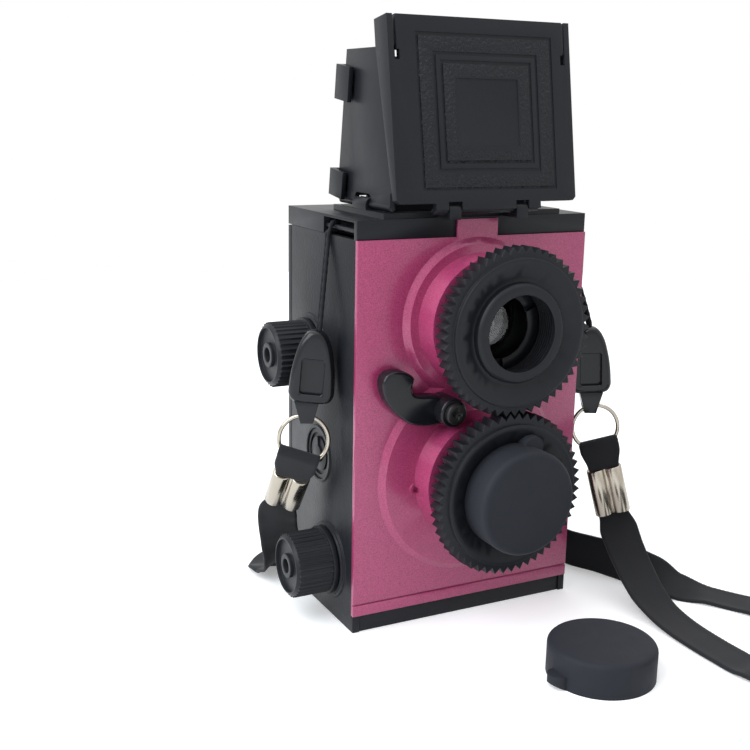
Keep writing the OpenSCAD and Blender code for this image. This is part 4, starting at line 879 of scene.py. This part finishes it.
@dataclass(frozen=True)
class Threads:
    """Fine rings cut in the bore of a focus ring, repeated along the lens axis, in millimetres.

    Attributes:
        materials: The finishes.
        count: Rings in a bore.
        pitch: Distance between rings.
        radius: Radius of the bore.
        wire: Radius of a ring's bead.
        start: Distance of the first ring ahead of the middle plane.
        round_steps: Points round a ring and round its bead.
        heights: Height of the viewing lens's and the taking lens's axis.
    """

    materials: Materials
    count: int = 8
    pitch: float = 0.8
    radius: float = 9.98
    wire: float = 0.16
    start: float = 32.7
    round_steps: tuple[int, int] = (96, 8)
    heights: tuple[tuple[str, float], ...] = (("viewing", 75.0), ("taking", 37.0))

    def group(self) -> bpy.types.NodeTree:
        """Node group that repeats one ring along a line.

        Returns:
            The group.
        """
        tree = bpy.data.node_groups.new("thread_rings", "GeometryNodeTree")
        face = tree.interface
        face.new_socket("Geometry", in_out="OUTPUT", socket_type="NodeSocketGeometry")
        for name, kind in (("Count", "Int"), ("Step", "Vector"), ("Radius", "Float"), ("Bead", "Float"),
                           ("Finish", "Material")):
            face.new_socket(name, in_out="INPUT", socket_type=f"NodeSocket{kind}")
        inputs, output = tree.nodes.new("NodeGroupInput"), tree.nodes.new("NodeGroupOutput")
        line, sweep, repeat, real, paint, circle, bead = (tree.nodes.new(f"GeometryNode{kind}") for kind in (
            "MeshLine", "CurveToMesh", "InstanceOnPoints", "RealizeInstances", "SetMaterial",
            "CurvePrimitiveCircle", "CurvePrimitiveCircle"))
        for node, steps in zip((circle, bead), self.round_steps):
            node.inputs["Resolution"].default_value = steps
        repeat.inputs["Rotation"].default_value = (math.pi / 2, 0.0, 0.0)
        for source, name, target, socket in (
                (inputs, "Count", line, "Count"), (inputs, "Step", line, "Offset"),
                (inputs, "Radius", circle, "Radius"), (inputs, "Bead", bead, "Radius"),
                (circle, "Curve", sweep, "Curve"), (bead, "Curve", sweep, "Profile Curve"),
                (line, "Mesh", repeat, "Points"), (sweep, "Mesh", repeat, "Instance"),
                (repeat, "Instances", real, "Geometry"), (real, "Geometry", paint, "Geometry"),
                (inputs, "Finish", paint, "Material"), (paint, "Geometry", output, "Geometry")):
            tree.links.new(source.outputs[name], target.inputs[socket])
        return tree

    def build(self) -> list[bpy.types.Object]:
        """Make the rings of both bores.

        Returns:
            The pieces.
        """
        tree = self.group()
        values = {"Count": self.count, "Step": (0.0, -self.pitch * MM, 0.0), "Radius": self.radius * MM,
                  "Bead": self.wire * MM, "Finish": self.materials.get(Slot.BLACK)}
        pieces: list[bpy.types.Object] = []
        for side, height in self.heights:
            obj = bpy.data.objects.new(f"{side}_threads", bpy.data.meshes.new(f"{side}_threads"))
            bpy.context.collection.objects.link(obj)
            modifier = obj.modifiers.new("rings", "NODES")
            modifier.node_group = tree
            for item in tree.interface.items_tree:
                if item.in_out == "INPUT":
                    modifier[item.identifier] = values[item.name]
            obj.update_tag()
            graph = bpy.context.evaluated_depsgraph_get()
            mesh = bpy.data.meshes.new_from_object(obj.evaluated_get(graph))
            obj.modifiers.remove(modifier)
            mesh.transform(Matrix.Translation((0.0, -self.start * MM, height * MM)))
            mesh.shade_smooth()
            obj.data = mesh
            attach(obj, f"{side}_ring")
            pieces.append(obj)
        return pieces


def closed_curve(points: list[Flat], steps: int) -> list[Flat]:
    """Closed smooth line through the points of an outline.

    Args:
        points: The outline.
        steps: Points to each stretch.

    Returns:
        The line's points.
    """
    rows, n = [Vector(p) for p in points], len(points)
    line: list[Flat] = []
    for i in range(n):
        a, b, c, d = (rows[(i + k) % n] for k in (-1, 0, 1, 2))
        for s in (k / steps for k in range(steps)):
            p = b * 2 + (c - a) * s + (a * 2 - b * 5 + c * 4 - d) * s * s + (b * 3 - a - c * 3 + d) * s * s * s
            line.append((p.x / 2, p.y / 2))
    return line


def quarter(steps: int) -> list[float]:
    """Angles of a quarter turn.

    Args:
        steps: Steps in it.

    Returns:
        The angles in radians, with both ends.
    """
    return [math.pi / 2 * k / steps for k in range(steps + 1)]


def bridge(bm: bmesh.types.BMesh, rings: list[list[bmesh.types.BMVert]]) -> None:
    """Join rings of points with faces, each ring to the next.

    Args:
        bm: The mesh that holds them.
        rings: The rings, with as many points each.
    """
    for one, two in zip(rings, rings[1:]):
        for i in range(len(one)):
            j = (i + 1) % len(one)
            bm.faces.new((one[i], one[j], two[j], two[i]))


# Right side of a buckle's outline from its lower edge up: across and up
BUCKLE_SIDE: list[Flat] = [
    (2.2, 0), (4.3, 0.5), (5.25, 1.9), (5.35, 3.6), (5.1, 7.4), (4.5, 11), (3.55, 14.4), (2, 16.8),
]


@dataclass(frozen=True)
class Buckles:
    """Pair of pillow-shaped strap buckles with a window sunk in each face, in millimetres.

    Attributes:
        materials: The finishes.
        height: Height of a buckle.
        half: Half its thickness.
        edge: Radius of its edges.
        window: Half width, foot and head of the window.
        corner: Radius of the window's corners.
        sunk: Depth of the window.
        wall: How far inside the window's edge its wall goes, by the share of the depth.
        curve_steps: Points to each stretch of the outline.
        edge_steps: Steps round an edge.
        corner_steps: Steps round a corner of the window.
    """

    materials: Materials
    height: float = 17.5
    half: float = 2.3
    edge: float = 1.5
    window: Spot = (2.8, 2.2, 10.9)
    corner: float = 0.7
    sunk: float = 1.3
    wall: tuple[Flat, ...] = ((0.0, 0.0), (0.12, 0.1), (0.2, 1.0))
    curve_steps: int = 6
    edge_steps: int = 7
    corner_steps: int = 5

    def pane(self, shrink: float) -> list[Flat]:
        """Outline of the window with rounded corners.

        Args:
            shrink: How far inside the window's own edge.

        Returns:
            The points.
        """
        wide, foot, head = self.window
        r, inset = self.corner, self.corner + shrink
        points: list[Flat] = []
        for k, (side, z) in enumerate(((1, head - inset), (-1, head - inset), (-1, foot + inset), (1, foot + inset))):
            for a in quarter(self.corner_steps):
                turn = math.pi / 2 * k + a
                points.append((side * (wide - inset) + r * math.cos(turn), z + r * math.sin(turn)))
        return points

    def one(self, place: Matrix) -> bpy.types.Mesh:
        """One buckle, made as a front half and its mirror image.

        Args:
            place: Where it stands.

        Returns:
            The mesh.
        """
        bm = bmesh.new()
        outline = [(0.0, 0.0), *BUCKLE_SIDE, (0.0, self.height), *((-x, z) for x, z in reversed(BUCKLE_SIDE))]
        line = [Vector(p) for p in closed_curve(outline, self.curve_steps)]
        n = len(line)
        along = [(line[(i + 1) % n] - line[i - 1]).normalized() for i in range(n)]
        rings = [[bm.verts.new((p.x, 0, p.y)) for p in line]]
        for a in quarter(self.edge_steps):
            inset, y = self.edge * (1 - math.cos(a)), self.half - self.edge * (1 - math.sin(a))
            rings.append([bm.verts.new((p.x - d.y * inset, -y, p.y + d.x * inset)) for p, d in zip(line, along)])
        panes = [[bm.verts.new((x, self.sunk * deep - self.half, z)) for x, z in self.pane(shrink)]
                 for shrink, deep in self.wall]
        bridge(bm, rings)
        bridge(bm, panes)
        bm.faces.new(panes[-1])
        rims = [bm.edges.get((ring[i - 1], ring[i])) for ring in (rings[-1], panes[0]) for i in range(len(ring))]
        bmesh.ops.triangle_fill(bm, use_beauty=True, edges=rims)
        bmesh.ops.mirror(bm, geom=bm.verts[:] + bm.edges[:] + bm.faces[:], axis="Y", merge_dist=0.001)
        bmesh.ops.recalc_face_normals(bm, faces=bm.faces)
        bmesh.ops.transform(bm, matrix=place, verts=bm.verts)
        mesh = bpy.data.meshes.new("one_buckle")
        bm.to_mesh(mesh)
        bm.free()
        return mesh

    def build(self) -> bpy.types.Object:
        """Make both buckles in the place of their solids.

        Returns:
            The piece.
        """
        bm = bmesh.new()
        for hanger in HANGERS:
            turn = Matrix.Rotation(math.radians(hanger.turn[2]), 4, "Z")
            lean = Matrix.Rotation(math.radians(hanger.lean), 4, "Y")
            mesh = self.one(Matrix.Scale(MM, 4) @ Matrix.Translation(hanger.buckle) @ turn @ lean)
            bm.from_mesh(mesh)
            bpy.data.meshes.remove(mesh)
        gloss = self.materials.named("polished_plastic", POLISHED)
        return riding(moulded(bm, "strap_buckles_round"), "camera", Slot.BLACK, gloss, ("strap_buckles",))


# Outline of the release lever round its pivot: across and up
LEVER_OUTLINE: list[Flat] = [
    (-13.9, 10.3), (-11.6, 10.1), (-9.6, 9.2), (-8.6, 8.1), (-8.9, 6.9), (-9.1, 5.6), (-8.5, 4.4), (-6.7, 3.9),
    (-4.2, 3.7), (-1.8, 3.4), (0.6, 2.8), (1.6, 0), (0.6, -2.8), (-2.3, -3.5), (-5.6, -3.5), (-9.2, -2.6),
    (-11.7, -1), (-14.1, 1.3), (-15.7, 3.6), (-16.5, 5.9), (-16.6, 8), (-15.7, 9.6),
]


@dataclass(frozen=True)
class Lever:
    """Curved release lever on its round hub, in millimetres.

    Attributes:
        materials: The finishes.
        pivot: Where the lever turns.
        front: Front face of the arm.
        back: Rear face of the arm.
        edge: Radius of the arm's front edge.
        hub_front: Front face of the hub.
        hub_back: Rear face of the hub.
        hub_r: Radius of the hub.
        hub_edge: Radius of the hub's front edge.
        pin_r: Radius of the pin that goes into the body.
        pin_edge: Radius of the pin's front edge.
        curve_steps: Points to each stretch of the outline, and steps round the arm's edge.
        post_steps: Steps round the edge of the hub and the pin.
        post_sides: Points round the hub and the pin.
    """

    materials: Materials
    pivot: Spot = (-10.0, 0.0, 55.0)
    front: float = -25.4
    back: float = -22.0
    edge: float = 1.1
    hub_front: float = -28.8
    hub_back: float = -21.5
    hub_r: float = 3.4
    hub_edge: float = 0.5
    pin_r: float = 2.4
    pin_edge: float = 0.1
    curve_steps: int = 5
    post_steps: int = 4
    post_sides: int = 64

    def post(self, bm: bmesh.types.BMesh, radius: float, front: float, back: float, edge: float) -> None:
        """Add a round post along the lever's axis, with its front edge rounded.

        Args:
            bm: The mesh to add to.
            radius: Its radius.
            front: Its front face.
            back: Its rear face.
            edge: Radius of the front edge.
        """
        profile = [(radius - edge + edge * math.sin(a), front + edge - edge * math.cos(a))
                   for a in quarter(self.post_steps)]
        turns = [math.tau * i / self.post_sides for i in range(self.post_sides)]
        rings = [[bm.verts.new((r * math.cos(a), y, r * math.sin(a))) for a in turns]
                 for r, y in (*profile, (radius, back))]
        bridge(bm, rings)
        bm.faces.new(rings[0])
        bm.faces.new(rings[-1])

    def build(self) -> bpy.types.Object:
        """Make the lever in the place of its solid.

        Returns:
            The piece.
        """
        bm = bmesh.new()
        outline = closed_curve(LEVER_OUTLINE, self.curve_steps)
        face = bm.faces.new([bm.verts.new((x, self.front, z)) for x, z in outline])
        rim = list(face.edges)
        grown = bmesh.ops.extrude_face_region(bm, geom=[face])["geom"]
        rear = [g for g in grown if isinstance(g, bmesh.types.BMVert)]
        bmesh.ops.translate(bm, vec=(0, self.back - self.front, 0), verts=rear)
        bmesh.ops.bevel(bm, geom=rim, offset=self.edge, offset_type="OFFSET", segments=self.curve_steps,
                        profile=0.5, affect="EDGES", clamp_overlap=True)
        pin_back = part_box("shutter_lever")[1][1] / MM
        self.post(bm, self.hub_r, self.hub_front, self.hub_back, self.hub_edge)
        self.post(bm, self.pin_r, self.hub_back, pin_back, self.pin_edge)
        bmesh.ops.recalc_face_normals(bm, faces=bm.faces)
        place = Matrix.Scale(MM, 4) @ Matrix.Translation(self.pivot)
        bmesh.ops.transform(bm, matrix=place, verts=bm.verts)
        gloss = self.materials.named("polished_plastic", POLISHED)
        return riding(moulded(bm, "release_lever"), "lever", Slot.BLACK, gloss, ("shutter_lever",))


@dataclass(frozen=True)
class Rounded:
    """Copies of hard CAD solids with their moulded edges rounded.

    Attributes:
        materials: The finishes.
        record: The part's record.
        weld: Distance at which points are one, in metres.
        flat: Angle in degrees under which two faces are one.
        sharp: Angle in degrees over which an edge is rounded.
        segments: Steps round an edge.
    """

    materials: Materials
    record: dict
    weld: float = 1e-6
    flat: float = 1.0
    sharp: float = 32.0
    segments: int = 2

    def slot_of(self, node: str) -> Slot:
        """Slot that the record gives a node.

        Args:
            node: The node's name.

        Returns:
            Its slot.
        """
        return Slot(next(s["material_slot"] for s in self.record["subparts"] if s["node"] == node))

    def body_of(self, node: str) -> str:
        """Body that carries a node.

        Args:
            node: The node's name.

        Returns:
            The body's name.
        """
        return next(b for b, nodes in self.record["behaviour"]["bodies"].items() if node in nodes)

    def build(self, node: str, radius: float, material: bpy.types.Material | None = None) -> bpy.types.Object:
        """Round a node's edges in a copy that stands for it.

        Args:
            node: The node's name.
            radius: Edge radius in millimetres.
            material: Its material, or nothing for the slot's own.

        Returns:
            The copy.
        """
        bm = bmesh.new()
        bm.from_mesh(frame["nodes"][node].data)
        bmesh.ops.remove_doubles(bm, verts=bm.verts, dist=self.weld)
        bmesh.ops.dissolve_limit(bm, angle_limit=math.radians(self.flat), verts=bm.verts, edges=bm.edges)
        least = math.radians(self.sharp)
        edges = [e for e in bm.edges if len(e.link_faces) == 2 and e.calc_face_angle(0.0) > least]
        bmesh.ops.bevel(bm, geom=edges, offset=radius * MM, offset_type="OFFSET", segments=self.segments, profile=0.5,
                        affect="EDGES", clamp_overlap=True, harden_normals=False)
        bmesh.ops.triangulate(bm, faces=[f for f in bm.faces if len(f.verts) > 4])
        slot = self.slot_of(node)
        look = material or self.materials.get(slot)
        return riding(moulded(bm, f"{node}_round"), self.body_of(node), slot, look, (node,))


# Edge radius, in millimetres, of each hard solid that shows
ROUND_NODES: dict[str, float] = {
    "left_side_plate": 0.25, "right_side_plate": 0.25, "bottom_plate": 0.3, "top_cover": 0.2, "front_plate": 0.35,
    "viewing_focus_ring": 0.16, "taking_focus_ring": 0.16, "viewing_lens_retainer": 0.12, "taking_lens_retainer": 0.12,
    "taking_lens_cap": 0.3, "viewing_lens_cap": 0.3, "lever_screw": 0.2, "winding_knob": 0.14,
    "rewind_knob": 0.14, "counter_dial": 0.15, "hood_lid": 0.14, "hood_left_panel": 0.15, "hood_right_panel": 0.15,
    "hood_back_panel": 0.15, "back_cover": 0.35, "back_latch": 0.2, "strap_plugs": 0.7,
    "strap_ferrules": 0.25, "strap_tie": 0.2,
}


@dataclass(frozen=True)
class Dressing:
    """All finishes and rounded copies of the camera's solids.

    Attributes:
        materials: The finishes.
        rounded: What rounds the solids' edges.
    """

    materials: Materials
    rounded: Rounded

    def build(self) -> list[bpy.types.Object]:
        """Give every node its finish, and the hard visible ones their rounded copies.

        Returns:
            The rounded copies.
        """
        black, named = FINISHES[Slot.BLACK], self.materials.named
        special = {
            "hood_lid": named("lid_plastic", black, Detail.LID),
            "strap_plugs": named("polished_plastic", POLISHED),
            "front_plate": named("pearl_plastic", FINISHES[Slot.PINK], Detail.FLAKES),
            "left_side_plate": named("grained_plastic", black, Detail.LEATHER),
            "right_side_plate": named("grained_plastic", black, Detail.LEATHER),
        }
        for name, obj in frame["nodes"].items():
            obj.data.materials.clear()
            obj.data.materials.append(self.materials.get(self.rounded.slot_of(name)))
        return [self.rounded.build(name, radius, special.get(name)) for name, radius in ROUND_NODES.items()]


@dataclass(frozen=True)
class Lamp:
    """One soft square light.

    Attributes:
        name: Its name.
        place: Where it is, in metres.
        target: What it points at.
        size: Length of its side.
        watts: Its power.
        colour: Its colour.
    """

    name: str
    place: Spot
    target: Spot
    size: float
    watts: float
    colour: Spot

    def build(self) -> None:
        """Make the light."""
        data = bpy.data.lights.new(self.name, "AREA")
        data.size, data.energy, data.color = self.size, self.watts, self.colour
        obj = bpy.data.objects.new(self.name, data)
        obj.location = self.place
        obj.rotation_euler = (Vector(self.target) - Vector(self.place)).to_track_quat("-Z", "Y").to_euler()
        bpy.context.collection.objects.link(obj)


LAMPS: tuple[Lamp, ...] = (
    Lamp("key", (-0.75, -0.15, 0.62), (0.0, 0.0, 0.06), 0.8, 10.0, (0.93, 0.97, 1.0)),
    Lamp("top", (0.0, 0.2, 1.3), (0.0, 0.05, 0.0), 2.0, 15.0, (1.0, 1.0, 1.0)),
    Lamp("fill", (0.5, -0.75, 0.45), (0.0, 0.0, 0.06), 0.7, 0.4, (1.0, 0.98, 0.96)),
)


@dataclass(frozen=True)
class Studio:
    """White floor, soft daylight from the left and a white surround.

    Attributes:
        floor_middle: Middle of the round floor, in metres.
        floor_r: Its radius.
        floor_sides: Points round it.
        floor_colour: Its colour.
        floor_roughness: Its roughness.
        floor_specular: Its specular level.
        floor_glow: Light that it shows, and doesn't throw.
        seen: Strength of the surround where it is seen.
        lit: Strength of the light that it throws.
        lit_colour: Colour of that light.
    """

    floor_middle: Flat = (0.04, -0.04)
    floor_r: float = 0.6
    floor_sides: int = 96
    floor_colour: Spot = (0.9, 0.91, 0.92)
    floor_roughness: float = 0.75
    floor_specular: float = 0.15
    floor_glow: float = 0.3
    seen: float = 1.0
    lit: float = 0.45
    lit_colour: Spot = (0.94, 0.97, 1.0)

    def build(self) -> None:
        """Make the floor, the lights and the world."""
        self.floor()
        for lamp in LAMPS:
            lamp.build()
        self.world()
        bpy.context.scene.view_settings.view_transform = "Standard"

    def floor(self) -> None:
        """Plain pale floor."""
        x, y = self.floor_middle
        turns = [math.tau * i / self.floor_sides for i in range(self.floor_sides)]
        mesh = bpy.data.meshes.new("floor")
        rim = [(x + self.floor_r * math.cos(a), y + self.floor_r * math.sin(a), 0) for a in turns]
        mesh.from_pydata(rim, [], [tuple(range(self.floor_sides))])
        n = Nodes("floor_white")
        shader = n.add("ShaderNodeBsdfPrincipled", Roughness=self.floor_roughness)
        shader.inputs["Base Color"].default_value = (*self.floor_colour, 1.0)
        shader.inputs["Specular IOR Level"].default_value = self.floor_specular
        glow = n.add("ShaderNodeEmission")
        n.link(n.maths("MULTIPLY", self.seeing(n.tree), self.floor_glow), glow.inputs["Strength"])
        both = n.add("ShaderNodeAddShader")
        n.link(shader.outputs[0], both.inputs[0])
        n.link(glow.outputs[0], both.inputs[1])
        n.link(both.outputs[0], n.output.inputs["Surface"])
        mesh.materials.append(n.material)
        obj = bpy.data.objects.new("floor", mesh)
        bpy.context.collection.objects.link(obj)

    @staticmethod
    def seeing(tree: bpy.types.NodeTree) -> bpy.types.NodeSocket:
        """One for rays that see a surface: from the camera, a reflection or through glass.

        Args:
            tree: The node tree to add to.

        Returns:
            The value socket.
        """
        rays = tree.nodes.new("ShaderNodeLightPath")
        value = rays.outputs["Is Camera Ray"]
        for name in ("Is Glossy Ray", "Is Transmission Ray"):
            larger = tree.nodes.new("ShaderNodeMath")
            larger.operation = "MAXIMUM"
            tree.links.new(value, larger.inputs[0])
            tree.links.new(rays.outputs[name], larger.inputs[1])
            value = larger.outputs[0]
        return value

    def world(self) -> None:
        """White surround, dimmer for the light that it throws."""
        world = bpy.data.worlds.new("surround")
        bpy.context.scene.world = world
        world.use_nodes = True
        tree = world.node_tree
        tree.nodes.clear()
        out = tree.nodes.new("ShaderNodeOutputWorld")
        mix = tree.nodes.new("ShaderNodeMixShader")
        tree.links.new(self.seeing(tree), mix.inputs["Fac"])
        for place, colour, strength in ((1, self.lit_colour, self.lit), (2, (1.0, 1.0, 1.0), self.seen)):
            sky = tree.nodes.new("ShaderNodeBackground")
            sky.inputs["Color"].default_value = (*colour, 1.0)
            sky.inputs["Strength"].default_value = strength
            tree.links.new(sky.outputs[0], mix.inputs[place])
        tree.links.new(mix.outputs[0], out.inputs["Surface"])


def main() -> None:
    """Dress the camera, report its pieces and set its stage."""
    logging.basicConfig(level=logging.INFO)
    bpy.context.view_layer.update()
    CameraRig().build()
    materials = Materials()
    pieces = Dressing(materials, Rounded(materials, frame["record"])).build()
    pieces.append(Buckles(materials).build())
    pieces += Strap(materials).build() + Threads(materials).build()
    pieces.append(Lever(materials).build())
    for piece in pieces:
        LOG.info("%s: %d faces", piece.name, len(piece.data.polygons))
    Studio().build()


if __name__ == "__main__":
    main()
